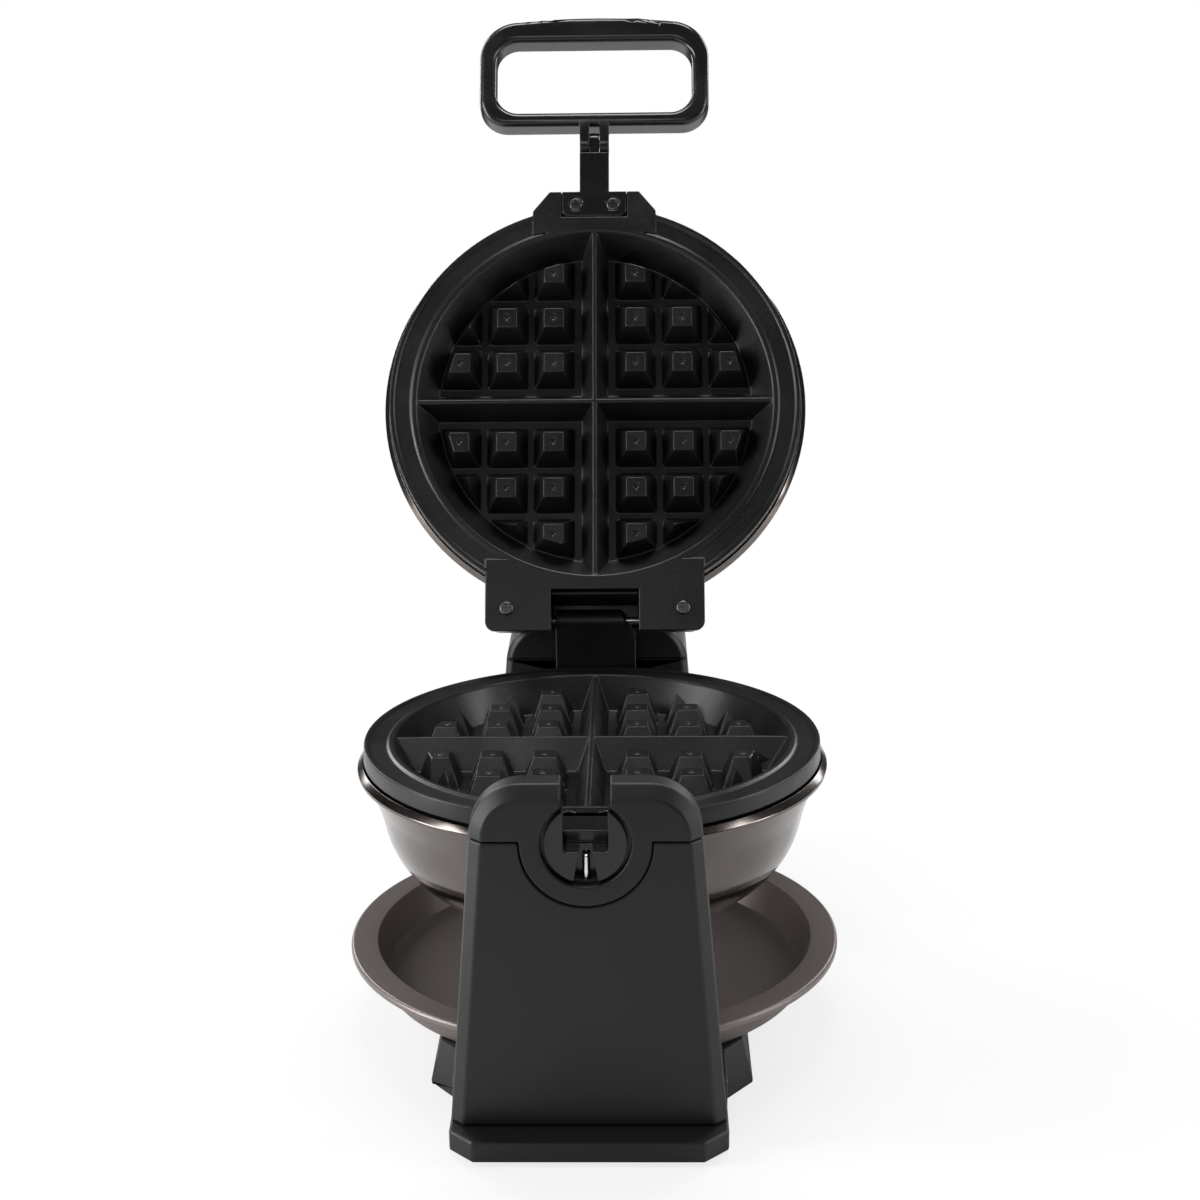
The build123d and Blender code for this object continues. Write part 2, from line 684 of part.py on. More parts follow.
def lid_bracket():
    """The casting over the lid's lugs that holds the hinge pin, drawn closed."""
    low = HALF_GAP + LUG_THICK
    half = LUG_HALF - LUG_THICK
    back = LUG_BACK_Y - SEAT_GAP
    body = block(-half, half, CAVITY_R - BRACKET_CASTING_IN, back, low, EAR_TOP_Z + BRIDGE)
    body = fillet(body.edges().filter_by(Axis.Z).group_by(Axis.Y)[-1], LUG_ROUND)
    fit = mirror(bowl_solid(SEAT_GAP), about=Plane.XY)
    head = rod(HEAD_CLEAR_R, -1, -BOWL_TOP_Z + BEAD_EDGE + SEAT_GAP)
    body -= [fit, head]
    body -= block(-NOTCH_HALF, NOTCH_HALF, 0, LUG_BACK_Y, 0, EAR_TOP_Z)
    body -= block(-half, half, BRIDGE_BACK_Y, LUG_BACK_Y, EAR_TOP_Z, EAR_TOP_Z + BRIDGE + 1)
    shield = block(
        -NOTCH_HALF, NOTCH_HALF, NOTCH_Y + SEAT_GAP, NOTCH_Y + BRIDGE / 2, low, EAR_TOP_Z + 1
    )
    body += shield
    body -= slab_x(
        [
            (back, EAR_SLOPE_FOOT_Z),
            (back + 1, EAR_SLOPE_FOOT_Z),
            (back + 1, EAR_TOP_Z + BRIDGE + 1),
            (back - EAR_SLOPE, EAR_TOP_Z + BRIDGE + 1),
        ],
        -half - 1,
        half + 1,
    )
    body -= axle_x(HINGE_PIN_R + FIT_GAP, -half - 1, half + 1, HINGE_Y, HINGE_Z)
    for side in (-1, 1):
        place = (side * LUG_SCREW_X, LUG_SCREW_Y)
        body -= rod(SCREW_R + FIT_GAP, low - 1, low + SCREW_BITE, place)
    return body


def hinge_pin():
    """The steel pin that the lid turns on."""
    half = LUG_HALF - LUG_THICK
    return axle_x(HINGE_PIN_R, -half, half, HINGE_Y, HINGE_Z)


def lug_screws():
    """The screws up through the lid's lugs into the hinge casting."""
    turned = Rot(180, 0, 0) * screw(LUG_THICK + SCREW_BITE - 1)
    places = [(side * LUG_SCREW_X, LUG_SCREW_Y) for side in (-1, 1)]
    return union([Pos(x, y, HALF_GAP) * turned for x, y in places])


def handle_neck():
    """The neck that joins the lid's front lug to the folding handle, drawn closed."""
    low = HALF_GAP
    plate = block(
        -NECK_PLATE_HALF, NECK_PLATE_HALF, FRONT_LUG_Y, NECK_PLATE_Y, low, low + NECK_PLATE_THICK
    )
    plate = fillet(plate.edges().filter_by(Axis.Z).group_by(Axis.Y)[-1], NECK_PLATE_ROUND)
    neck_low = HANDLE_PIVOT_Z - NECK_THICK / 2
    neck_end = HANDLE_PIVOT_Y + KNUCKLE_EAR_R + SEAT_GAP
    neck = block(
        -NECK_HALF, NECK_HALF, neck_end, FRONT_LUG_Y - SEAT_GAP, low, neck_low + NECK_THICK
    )
    neck = fillet(neck.edges().filter_by(Axis.Y).group_by(Axis.Z)[-1], NECK_ROUND)
    joint = block(
        -NECK_HALF, NECK_HALF, FRONT_LUG_Y - 2, FRONT_LUG_Y + 1, low, low + NECK_PLATE_THICK
    )
    tongue = slab_x(
        [
            (neck_end + 1, neck_low + 1),
            (HANDLE_PIVOT_Y, HANDLE_PIVOT_Z - KNUCKLE_EAR_R + KNUCKLE_STEP),
            (HANDLE_PIVOT_Y, HANDLE_PIVOT_Z + KNUCKLE_EAR_R - KNUCKLE_STEP),
            (neck_end + 1, neck_low + NECK_THICK - 1),
        ],
        -NECK_TONGUE_HALF,
        NECK_TONGUE_HALF,
    )
    eye_r = KNUCKLE_EAR_R - KNUCKLE_STEP
    eye = axle_x(eye_r, -NECK_TONGUE_HALF, NECK_TONGUE_HALF, HANDLE_PIVOT_Y, HANDLE_PIVOT_Z)
    body = plate + [neck, joint, tongue, eye]
    body -= axle_x(HANDLE_PIN_R + FIT_GAP, -NECK_HALF, NECK_HALF, HANDLE_PIVOT_Y, HANDLE_PIVOT_Z)
    for side in (-1, 1):
        place = (side * NECK_SCREW_X, NECK_SCREW_Y)
        body -= rod(SCREW_R + SCREW_GAP, low - 1, low + NECK_PLATE_THICK + 1, place)
        body -= rod(SCREW_HEAD_R + SCREW_GAP, low - 1, low + SCREW_HEAD, place)
    return body


def neck_screws():
    """The two sunk cross-head screws that hold the neck to the lid."""
    turned = Rot(180, 0, 0) * screw(SCREW_BITE - SCREW_HEAD)
    places = [(side * NECK_SCREW_X, NECK_SCREW_Y) for side in (-1, 1)]
    return union([Pos(x, y, HALF_GAP + SCREW_HEAD) * turned for x, y in places])


def handle_pin():
    """The pin that the handle folds on, between its own two ears."""
    half = NECK_HALF - SEAT_GAP
    return axle_x(HANDLE_PIN_R, -half, half, HANDLE_PIVOT_Y, HANDLE_PIVOT_Z)


def handle_loop():
    """The closed loop grip with the two ears of its folding joint, drawn closed."""
    z0 = HANDLE_PIVOT_Z - LOOP_THICK / 2
    shoulder_y = LOOP_FAR_Y + LOOP_ARCH
    far = ThreePointArc((LOOP_HALF, shoulder_y), (0, LOOP_FAR_Y), (-LOOP_HALF, shoulder_y))
    sides = Polyline(
        (-LOOP_HALF, shoulder_y),
        (-LOOP_HALF, LOOP_NEAR_Y),
        (LOOP_HALF, LOOP_NEAR_Y),
        (LOOP_HALF, shoulder_y),
    )
    outer = make_face(sides + far)
    outer = fillet(outer.vertices().group_by(Axis.Y)[0], LOOP_ROUND)
    outer = fillet(outer.vertices().group_by(Axis.Y)[-1], LOOP_NEAR_ROUND)
    grip = Pos(0, 0, z0) * extrude(outer, LOOP_THICK)
    hole_length = LOOP_INNER_NEAR_Y - LOOP_INNER_FAR_Y
    hole_middle = (LOOP_INNER_NEAR_Y + LOOP_INNER_FAR_Y) / 2
    hole = Pos(0, hole_middle) * RectangleRounded(
        2 * LOOP_INNER_HALF, hole_length, LOOP_INNER_ROUND
    )
    grip -= Pos(0, 0, z0 - 1) * extrude(hole, LOOP_THICK + 2)
    levels = grip.edges().group_by(Axis.Z)
    grip = fillet(levels[0] + levels[-1], LOOP_EDGE)
    gap = NECK_TONGUE_HALF + SEAT_GAP
    for side in (-1, 1):
        x0, x1 = sorted((side * gap, side * NECK_HALF))
        ear = axle_x(KNUCKLE_EAR_R, x0, x1, HANDLE_PIVOT_Y, HANDLE_PIVOT_Z)
        ear += block(
            x0,
            x1,
            LOOP_NEAR_Y - LOOP_EDGE,
            HANDLE_PIVOT_Y,
            HANDLE_PIVOT_Z - KNUCKLE_EAR_R,
            HANDLE_PIVOT_Z + KNUCKLE_EAR_R,
        )
        grip += ear
    grip -= axle_x(HANDLE_PIN_R + RUN_GAP, -NECK_HALF, NECK_HALF, HANDLE_PIVOT_Y, HANDLE_PIVOT_Z)
    return grip


def opened(piece):
    """A piece of the lid, drawn closed, turned to its open place about the hinge pin."""
    return piece.rotate(Axis((0, HINGE_Y, HINGE_Z), (1, 0, 0)), -OPEN_ANGLE)


def front_trunnion():
    """The drum in the front tower with its channel for the handle's neck, and its tongue."""
    back_y = DRUM_FRONT_Y + DRUM_LENGTH
    drum = axle_y(DRUM_R, DRUM_FRONT_Y, back_y, 0, AXIS_Z)
    top = -HALF_GAP
    neck = block(-TONGUE_HALF, TONGUE_HALF, back_y - 1, -CAVITY_R, -NECK_BLOCK_DROP, top)
    neck -= rod(HEAD_CLEAR_R, -NECK_BLOCK_DROP - 1, top - TONGUE_THICK)
    neck -= block(-TONGUE_HALF, TONGUE_HALF, TONGUE_Y, 0, -NECK_BLOCK_DROP, 1)
    body = drum + neck
    floor_z = -CHANNEL_DEPTH
    channel = block(
        -CHANNEL_HALF,
        CHANNEL_HALF,
        DRUM_FRONT_Y - 1,
        DRUM_FRONT_Y + CHANNEL_LENGTH,
        floor_z,
        DRUM_R + 1,
    )
    channel = fillet(channel.edges().filter_by(Axis.Y).group_by(Axis.Z)[0], CHANNEL_ROUND)
    behind = block(
        -TONGUE_HALF, TONGUE_HALF, DRUM_FRONT_Y + CHANNEL_LENGTH - 1, back_y + 1, top, DRUM_R + 1
    )
    slot = make_face(
        Polyline(
            (-PIN_SLOT_HALF, floor_z + 1),
            (PIN_SLOT_HALF, floor_z + 1),
            (PIN_SLOT_FLARE, AXIS_Z - DRUM_R - 1),
            (-PIN_SLOT_FLARE, AXIS_Z - DRUM_R - 1),
            close=True,
        )
    )
    body -= [channel, behind, slab_y(slot, DRUM_FRONT_Y - 1, DRUM_FRONT_Y + PIN_SLOT_LENGTH)]
    for side in (-1, 1):
        place = (side * TONGUE_SCREW_X, TONGUE_SCREW_Y)
        body -= rod(SCREW_R + SCREW_GAP, top - TONGUE_THICK - 1, 1, place)
        body -= rod(SMALL_HEAD_R + SCREW_GAP, top - SCREW_HEAD, 1, place)
    return body


def trunnion_screws():
    """The two screws through the front trunnion's tongue into the lower plate."""
    one = screw(SCREW_BITE, SMALL_HEAD_R)
    places = [(side * TONGUE_SCREW_X, TONGUE_SCREW_Y) for side in (-1, 1)]
    return union([Pos(x, y, -HALF_GAP - SCREW_HEAD) * one for x, y in places])


def hinge_bracket():
    """The casting behind the lower bowl: hinge arm, mounting pad and rear trunnion."""
    back = HINGE_Y + KNUCKLE_R
    pad_top = BOWL_TOP_Z - SEAT_GAP
    arm = slab_x(
        [
            (back, pad_top - 1),
            (back, HINGE_Z),
            (HINGE_Y - KNUCKLE_R, HINGE_Z),
            (FLANGE_R + SEAT_GAP, -HALF_GAP),
            (HEAD_CLEAR_R + SEAT_GAP, SKIRT_Z),
            (HEAD_CLEAR_R + SEAT_GAP, pad_top - 1),
        ],
        -ARM_HALF,
        ARM_HALF,
    )
    arm += axle_x(KNUCKLE_R, -ARM_HALF, ARM_HALF, HINGE_Y, HINGE_Z)
    corner = make_face(
        Polyline(
            (ARM_HALF - ARM_CORNER, HINGE_Z + KNUCKLE_R + 1),
            (ARM_HALF + 1, HINGE_Z + KNUCKLE_R + 1),
            (ARM_HALF + 1, HINGE_Z - KNUCKLE_R - ARM_CORNER / 2),
            close=True,
        )
    )
    arm -= slab_y(corner, HINGE_Y - 2 * KNUCKLE_R, HINGE_Y + 2 * KNUCKLE_R)
    pad = block(-BRACKET_HALF, BRACKET_HALF, CAVITY_R - 20, back, -BRACKET_DROP, pad_top)
    relief_y = back - BRACKET_PLATE
    rim = rod(HEAD_CLEAR_R, BOWL_TOP_Z - BEAD_EDGE - SEAT_GAP, BOWL_TOP_Z)
    body = arm + (pad - bowl_solid(SEAT_GAP) - rim)
    boss = axle_y(TRUNNION_BOSS_R, back - 1, back + TRUNNION_BOSS, 0, AXIS_Z)
    shaft = axle_y(TRUNNION_R, back, TRUNNION_END_Y, 0, AXIS_Z)
    body += [boss, shaft]
    body -= axle_y(TRUNNION_BORE_R, relief_y, TRUNNION_END_Y + 1, 0, AXIS_Z)
    body -= rod(TRUNNION_BORE_R, -BRACKET_DROP / 2, AXIS_Z, (0, relief_y + 1))
    body -= axle_y(TRUNNION_BORE_R / 2, CAVITY_R - 20, relief_y + 2, 0, -BRACKET_DROP / 2)
    body -= axle_x(HINGE_PIN_R + RUN_GAP, -ARM_HALF - 1, ARM_HALF + 1, HINGE_Y, HINGE_Z)
    for side in (-1, 1):
        x = side * BRACKET_SCREW_X
        body -= axle_y(SCREW_R + FIT_GAP, CAVITY_R - 20, back - 2, x, BRACKET_SCREW_Z)
    return body


def tower_face(top_z, top_half, shoulder, foot_z, foot_half, inset=0.0):
    """A tower's outline as (x, z): straight leaning sides and two round shoulders."""
    top = top_z - inset
    a = top_half - inset
    b = foot_half - inset
    round_r = shoulder - inset
    outline = make_face(Polyline((-b, foot_z), (b, foot_z), (a, top), (-a, top), close=True))
    return fillet(outline.vertices().group_by(Axis.Y)[-1], round_r)


def tower_solid(y0, y1, top_z, top_half, shoulder, bevel, bevel_back=False):
    """A whole tower from its plinth up, with its front edge bevelled."""
    face = tower_face(top_z, top_half, shoulder, PLINTH_TOP_Z, TOWER_FOOT_HALF)
    solid = slab_y(face, y0, y1)
    ends = [y0, y1] if bevel_back else [y0]
    for y in ends:
        rim = solid.faces().sort_by(lambda f: abs(f.center().Y - y))[0].edges()
        rim = rim.filter_by(lambda e: e.center().Z > PLINTH_TOP_Z + 1)
        solid = chamfer(rim, bevel)
    return solid


def front_tower_solid():
    """The front tower as one closed shape, later parted at the cap's seam."""
    return tower_solid(
        TOWER_FRONT_Y, TOWER_BACK_Y, TOWER_TOP_Z, TOWER_TOP_HALF, TOWER_SHOULDER, TOWER_BEVEL
    )


def cap_region(y0, y1, seam_z, lobe_r, high):
    """The space of a cap: all above the seam and a half round lobe below it."""
    wide = 2 * TOWER_FOOT_HALF
    above = block(-wide, wide, y0 - 1, y1 + 1, seam_z, high + 1)
    return above + axle_y(lobe_r, y0 - 1, y1 + 1, 0, AXIS_Z)


def front_cap():
    """The front tower's bearing cap with its round bore and the handle's slot."""
    region = cap_region(TOWER_FRONT_Y, TOWER_BACK_Y, CAP_SEAM_Z, CAP_LOBE_R, TOWER_TOP_Z)
    cap = front_tower_solid() & region
    cap -= axle_y(BORE_R, TOWER_FRONT_Y - 1, TOWER_BACK_Y + 1, 0, AXIS_Z)
    cap -= block(
        -CAP_SLOT_HALF,
        CAP_SLOT_HALF,
        TOWER_FRONT_Y - 1,
        TOWER_BACK_Y + 1,
        AXIS_Z,
        TOWER_TOP_Z + 1,
    )
    cap -= rod(LOCK_PIN_R + RUN_GAP, AXIS_Z - CAP_LOBE_R - 1, AXIS_Z, (0, LOCK_PIN_Y))
    for place in front_cap_screw_places():
        cap -= rod(SCREW_R + FIT_GAP, CAP_SEAM_Z - 1, CAP_SEAM_Z + SCREW_BITE + 1, place)
    return cap


def front_cap_screw_places():
    """Where screws come up through the front tower into its cap."""
    middle = (TOWER_FRONT_Y + TOWER_BACK_Y) / 2
    return [(side * CAP_SCREW_X, middle) for side in (-1, 1)]


def rear_cap_screw_places():
    """Where screws come up through the rear tower into its cap."""
    return [(side * CAP_SCREW_X, REAR_SCREW_Y) for side in (-1, 1)]


def cap_screws():
    """The screws that hold both tower caps down."""
    turned = Rot(180, 0, 0) * screw(CAP_STEP + SEAM_GAP + SCREW_BITE)
    front = [Pos(x, y, CAP_SEAM_Z - SEAM_GAP - CAP_STEP) * turned for x, y in front_cap_screw_places()]
    rear = [Pos(x, y, AXIS_Z - SEAM_GAP - CAP_STEP) * turned for x, y in rear_cap_screw_places()]
    return union(front + rear)


def front_tower():
    """The hollow front tower below the cap's seam, open underneath."""
    region = cap_region(
        TOWER_FRONT_Y, TOWER_BACK_Y, CAP_SEAM_Z - SEAM_GAP, CAP_LOBE_R + SEAM_GAP, TOWER_TOP_Z
    )
    solid = front_tower_solid() - region
    hollow_half = TOWER_TOP_HALF - TOWER_BEVEL
    hollow = loft(
        [
            Pos(0, 0, PLINTH_TOP_Z - 1) * hollow_plan(TOWER_FACE_FOOT_HALF + TOWER_WALL),
            Pos(0, 0, AXIS_Z - CAP_LOBE_R - TOWER_WALL) * hollow_plan(hollow_half + TOWER_WALL),
        ]
    )
    shell = solid - hollow
    y0 = TOWER_FRONT_Y + TOWER_WALL
    y1 = TOWER_BACK_Y - TOWER_WALL
    middle = (y0 + y1) / 2
    for side in (-1, 1):
        post = rod(BOSS_R, PLINTH_TOP_Z, PLINTH_TOP_Z + 3 * SCREW_BITE, (side * TOWER_SCREW_X, middle))
        web = block(
            side * TOWER_SCREW_X - WEB_HALF, side * TOWER_SCREW_X + WEB_HALF, y0 - 1, y1 + 1,
            PLINTH_TOP_Z, PLINTH_TOP_Z + 3 * SCREW_BITE,
        )
        shell += [post, web]
        shell -= rod(
            SCREW_R + FIT_GAP, PLINTH_TOP_Z - 1, PLINTH_TOP_Z + 2 * SCREW_BITE,
            (side * TOWER_SCREW_X, middle),
        )
    seam = CAP_SEAM_Z - SEAM_GAP
    for place in front_cap_screw_places():
        shell -= rod(SCREW_R + SCREW_GAP, seam - CAP_STEP - 1, seam + 1, place)
        shell -= rod(SCREW_HEAD_R + SCREW_GAP, AXIS_Z - CAP_LOBE_R - LOCK_WELL, seam - CAP_STEP, place)
    shell -= rod(LOCK_PIN_R + SCREW_GAP, AXIS_Z - CAP_LOBE_R - LOCK_WELL, AXIS_Z, (0, LOCK_PIN_Y))
    return shell


def hollow_plan(half):
    """Plan of the space inside the front tower."""
    y0 = TOWER_FRONT_Y + TOWER_WALL
    y1 = TOWER_BACK_Y - TOWER_WALL
    return Pos(0, (y0 + y1) / 2) * Rectangle(2 * half - 2 * TOWER_WALL, y1 - y0)


def front_bush():
    """The bearing liner round the drum, open at the top for the handle."""
    y0 = TOWER_FRONT_Y + BUSH_INSET
    ring = axle_y(BORE_R - FIT_GAP, y0, y0 + BUSH_LENGTH, 0, AXIS_Z)
    ring -= axle_y(BORE_R - BUSH_WALL, y0 - 1, y0 + BUSH_LENGTH + 1, 0, AXIS_Z)
    ring -= block(-CAP_SLOT_HALF, CAP_SLOT_HALF, y0 - 1, y0 + BUSH_LENGTH + 1, AXIS_Z, TOWER_TOP_Z)
    return ring - rod(LOCK_PIN_R + SCREW_GAP, AXIS_Z - 2 * BORE_R, AXIS_Z, (0, LOCK_PIN_Y))


def lock_pin():
    """The spring pin that stands in the drum's slot while the lid is open."""
    top = AXIS_Z - LOCK_PIN_TOP
    pin = rod(LOCK_PIN_R, AXIS_Z - LOCK_PIN_FOOT, top, (0, LOCK_PIN_Y))
    pin = fillet(pin.edges().group_by(Axis.Z)[-1], LOCK_PIN_R * 0.6)
    collar_z = AXIS_Z - LOCK_COLLAR_DROP
    return pin + rod(LOCK_COLLAR_R, collar_z - LOCK_COLLAR, collar_z, (0, LOCK_PIN_Y))


def lock_guide():
    """The block inside the tower that guides the lock pin and holds its spring."""
    high = AXIS_Z - LOCK_COLLAR_DROP + SEAT_GAP
    low = high - GUIDE_LENGTH
    y0 = TOWER_FRONT_Y + TOWER_WALL
    body = block(-GUIDE_HALF, GUIDE_HALF, y0, TOWER_BACK_Y - TOWER_WALL, low, high)
    body -= rod(LOCK_COLLAR_R + RUN_GAP, low + TOWER_WALL, high + 1, (0, LOCK_PIN_Y))
    return body - rod(LOCK_PIN_R + SCREW_GAP, low - 1, high, (0, LOCK_PIN_Y))


def lock_spring():
    """The coil spring under the lock pin's collar."""
    top = AXIS_Z - LOCK_COLLAR_DROP - LOCK_COLLAR - SPRING_WIRE_R
    foot = AXIS_Z - LOCK_COLLAR_DROP + SEAT_GAP - GUIDE_LENGTH + TOWER_WALL + SPRING_WIRE_R
    height = top - foot
    path = Helix(height / SPRING_TURNS, height, SPRING_R)
    start = path @ 0
    section = Plane(origin=start, z_dir=path % 0) * Circle(SPRING_WIRE_R)
    return Pos(0, LOCK_PIN_Y, foot) * sweep(section, path=path)


def rear_tower_solid():
    """The rear tower as one closed shape."""
    return tower_solid(
        REAR_FRONT_Y, REAR_BACK_Y, REAR_TOP_Z, REAR_TOP_HALF, REAR_SHOULDER, TOWER_BEVEL / 2, True
    )


def rear_hollow(low, high_inset):
    """The space inside the rear tower."""
    y0 = REAR_FRONT_Y + TOWER_WALL
    y1 = REAR_BACK_Y - TOWER_WALL
    face = tower_face(
        REAR_TOP_Z, REAR_TOP_HALF, REAR_SHOULDER, PLINTH_TOP_Z - low, TOWER_FOOT_HALF, high_inset
    )
    return slab_y(face, y0, y1)


def shaft_slot():
    """The clearance for the rear trunnion through the rear tower's front wall."""
    r = TRUNNION_R + TRUNNION_HOLE_GAP
    y0 = REAR_FRONT_Y - 1
    y1 = REAR_FRONT_Y + TOWER_WALL + 1
    return axle_y(r, y0, y1, 0, AXIS_Z)


def rear_tower():
    """The hollow rear tower below its cap, open underneath."""
    region = cap_region(REAR_FRONT_Y, REAR_BACK_Y, AXIS_Z - SEAM_GAP, TRUNNION_R, REAR_TOP_Z)
    shell = rear_tower_solid() - rear_hollow(1, TOWER_WALL) - region - shaft_slot()
    middle = REAR_SCREW_Y
    for side in (-1, 1):
        x = side * TOWER_SCREW_X
        post = rod(BOSS_R, PLINTH_TOP_Z, PLINTH_TOP_Z + 3 * SCREW_BITE, (x, middle))
        web = block(
            x - WEB_HALF, x + WEB_HALF, middle, REAR_BACK_Y - TOWER_WALL + 1,
            PLINTH_TOP_Z, PLINTH_TOP_Z + 3 * SCREW_BITE,
        )
        shell += [post, web]
        shell -= rod(
            SCREW_R + FIT_GAP, PLINTH_TOP_Z - 1, PLINTH_TOP_Z + 2 * SCREW_BITE, (x, middle)
        )
    seam = AXIS_Z - SEAM_GAP
    for x, y in rear_cap_screw_places():
        post = rod(BOSS_R, seam - CAP_STEP, seam, (x, y))
        web = block(
            x - WEB_HALF, x + WEB_HALF, y, REAR_BACK_Y - TOWER_WALL + 1, seam - CAP_STEP, seam
        )
        shell += [post, web]
        shell -= rod(SCREW_R + SCREW_GAP, seam - CAP_STEP - 1, seam + 1, (x, y))
    gland_z = TABLE_Z + PLINTH_RISE + GLAND_Z
    return shell - axle_y(
        GLAND_R - GLAND_STEP, REAR_BACK_Y - 2 * TOWER_WALL, REAR_BACK_Y + 1, 0, gland_z
    )


def rear_cap():
    """The cover over the rear bearing."""
    wide = 2 * TOWER_FOOT_HALF
    region = block(
        -wide, wide, REAR_FRONT_Y - 1, REAR_BACK_Y + 1, AXIS_Z, REAR_TOP_Z + 1
    )
    whole = rear_tower_solid() & region
    cap = whole - rear_hollow(1, TOWER_WALL) - shaft_slot()
    for place in rear_cap_screw_places():
        cap += rod(BOSS_R, AXIS_Z, REAR_TOP_Z, place) & whole
        cap -= rod(SCREW_R + FIT_GAP, AXIS_Z - 1, AXIS_Z + SCREW_BITE + 1, place)
    return cap


def rear_pedestal():
    """The post inside the rear tower that carries the rear bush."""
    bush_r = TRUNNION_R + RUN_GAP + REAR_BUSH_WALL
    y1 = PEDESTAL_Y + PEDESTAL_LENGTH
    body = block(-PEDESTAL_HALF, PEDESTAL_HALF, PEDESTAL_Y, y1, PLINTH_TOP_Z, AXIS_Z)
    body -= axle_y(bush_r + FIT_GAP, PEDESTAL_Y - 1, y1 + 1, 0, AXIS_Z)
    middle = (PEDESTAL_Y + y1) / 2
    for side in (-1, 1):
        place = (side * KEEPER_SCREW_X, middle)
        body -= rod(SCREW_R + FIT_GAP, AXIS_Z - SCREW_BITE - 4, AXIS_Z + 1, place)
        body -= rod(SCREW_R + FIT_GAP, PLINTH_TOP_Z - 1, PLINTH_TOP_Z + 2 * SCREW_BITE, place)
    return body


def rear_bush():
    """The plain bearing round the rear trunnion."""
    y1 = PEDESTAL_Y + PEDESTAL_LENGTH
    outer = axle_y(TRUNNION_R + RUN_GAP + REAR_BUSH_WALL, PEDESTAL_Y, y1, 0, AXIS_Z)
    return outer - axle_y(TRUNNION_R + RUN_GAP, PEDESTAL_Y - 1, y1 + 1, 0, AXIS_Z)


def rear_keeper():
    """The strap over the rear bush."""
    bush_r = TRUNNION_R + RUN_GAP + REAR_BUSH_WALL
    y1 = PEDESTAL_Y + PEDESTAL_LENGTH
    foot = block(-PEDESTAL_HALF, PEDESTAL_HALF, PEDESTAL_Y, y1, AXIS_Z, AXIS_Z + KEEPER_THICK)
    hoop = axle_y(bush_r + KEEPER_THICK, PEDESTAL_Y, y1, 0, AXIS_Z)
    hoop &= block(-PEDESTAL_HALF, PEDESTAL_HALF, PEDESTAL_Y, y1, AXIS_Z, REAR_TOP_Z)
    body = foot + hoop - axle_y(bush_r + FIT_GAP, PEDESTAL_Y - 1, y1 + 1, 0, AXIS_Z)
    for side in (-1, 1):
        place = (side * KEEPER_SCREW_X, (PEDESTAL_Y + y1) / 2)
        body -= rod(SCREW_R + SCREW_GAP, AXIS_Z - 1, AXIS_Z + KEEPER_THICK + 1, place)
    return body


def keeper_screws():
    """The screws that hold the strap over the rear bush."""
    y = PEDESTAL_Y + PEDESTAL_LENGTH / 2
    z = AXIS_Z + KEEPER_THICK
    return union([Pos(side * KEEPER_SCREW_X, y, z) * screw(SCREW_BITE) for side in (-1, 1)])


def shaft_collar():
    """The ring on the rear trunnion's end that keeps the head from sliding forwards."""
    y0 = PEDESTAL_Y + PEDESTAL_LENGTH + SEAT_GAP
    ring = axle_y(TRUNNION_R + REAR_BUSH_WALL, y0, y0 + BRIDGE, 0, AXIS_Z)
    return ring - axle_y(TRUNNION_R + FIT_GAP, y0 - 1, y0 + BRIDGE + 1, 0, AXIS_Z)


def cord_gland():
    """The gland in the rear tower's back wall where the power cord comes out."""
    z = TABLE_Z + PLINTH_RISE + GLAND_Z
    throat_r = GLAND_R - GLAND_STEP - FIT_GAP
    throat = axle_y(throat_r, REAR_BACK_Y - TOWER_WALL - GLAND_COLLAR, REAR_BACK_Y, 0, z)
    collar = axle_y(GLAND_R, REAR_BACK_Y, REAR_BACK_Y + GLAND_COLLAR, 0, z)
    bore = axle_y(GLAND_BORE_R, REAR_BACK_Y - 2 * GLAND_R, REAR_BACK_Y + 2 * GLAND_R, 0, z)
    return throat + collar - bore


def terminal_block():
    """The block where the cord meets the inner wires, standing on the plinth."""
    width, depth, height = TERMINAL_BLOCK
    y1 = REAR_BACK_Y - TOWER_WALL - TERMINAL_BLOCK_INSET
    top = PLINTH_TOP_Z + height
    body = block(-width / 2, width / 2, y1 - depth, y1, PLINTH_TOP_Z, top)
    for i in (-1, 0, 1):
        place = (i * TERMINAL_PITCH, y1 - depth / 2)
        body -= rod(SCREW_HEAD_R, top - TERMINAL_WELL, top + 1, place)
    return body


def plinth_outline():
    """Plan of the base's long body, chamfered at its four corners."""
    length = PLINTH_BACK_Y - PLINTH_FRONT_Y
    plan = Pos(0, (PLINTH_BACK_Y + PLINTH_FRONT_Y) / 2) * Rectangle(2 * NECK_BASE_HALF, length)
    return chamfer(plan.vertices(), PLINTH_CHAMFER)


def middle_outline():
    """Plan of the base's middle block, whose ends narrow to the long body's width."""
    end = MID_HALF_Y + MID_NOSE
    plan = make_face(
        Polyline(
            (-NECK_BASE_HALF, -end),
            (NECK_BASE_HALF, -end),
            (MID_HALF_X, -MID_HALF_Y),
            (MID_HALF_X, MID_HALF_Y),
            (NECK_BASE_HALF, end),
            (-NECK_BASE_HALF, end),
            (-MID_HALF_X, MID_HALF_Y),
            (-MID_HALF_X, -MID_HALF_Y),
            close=True,
        )
    )
    return fillet(plan.vertices(), BASE_FILLET)


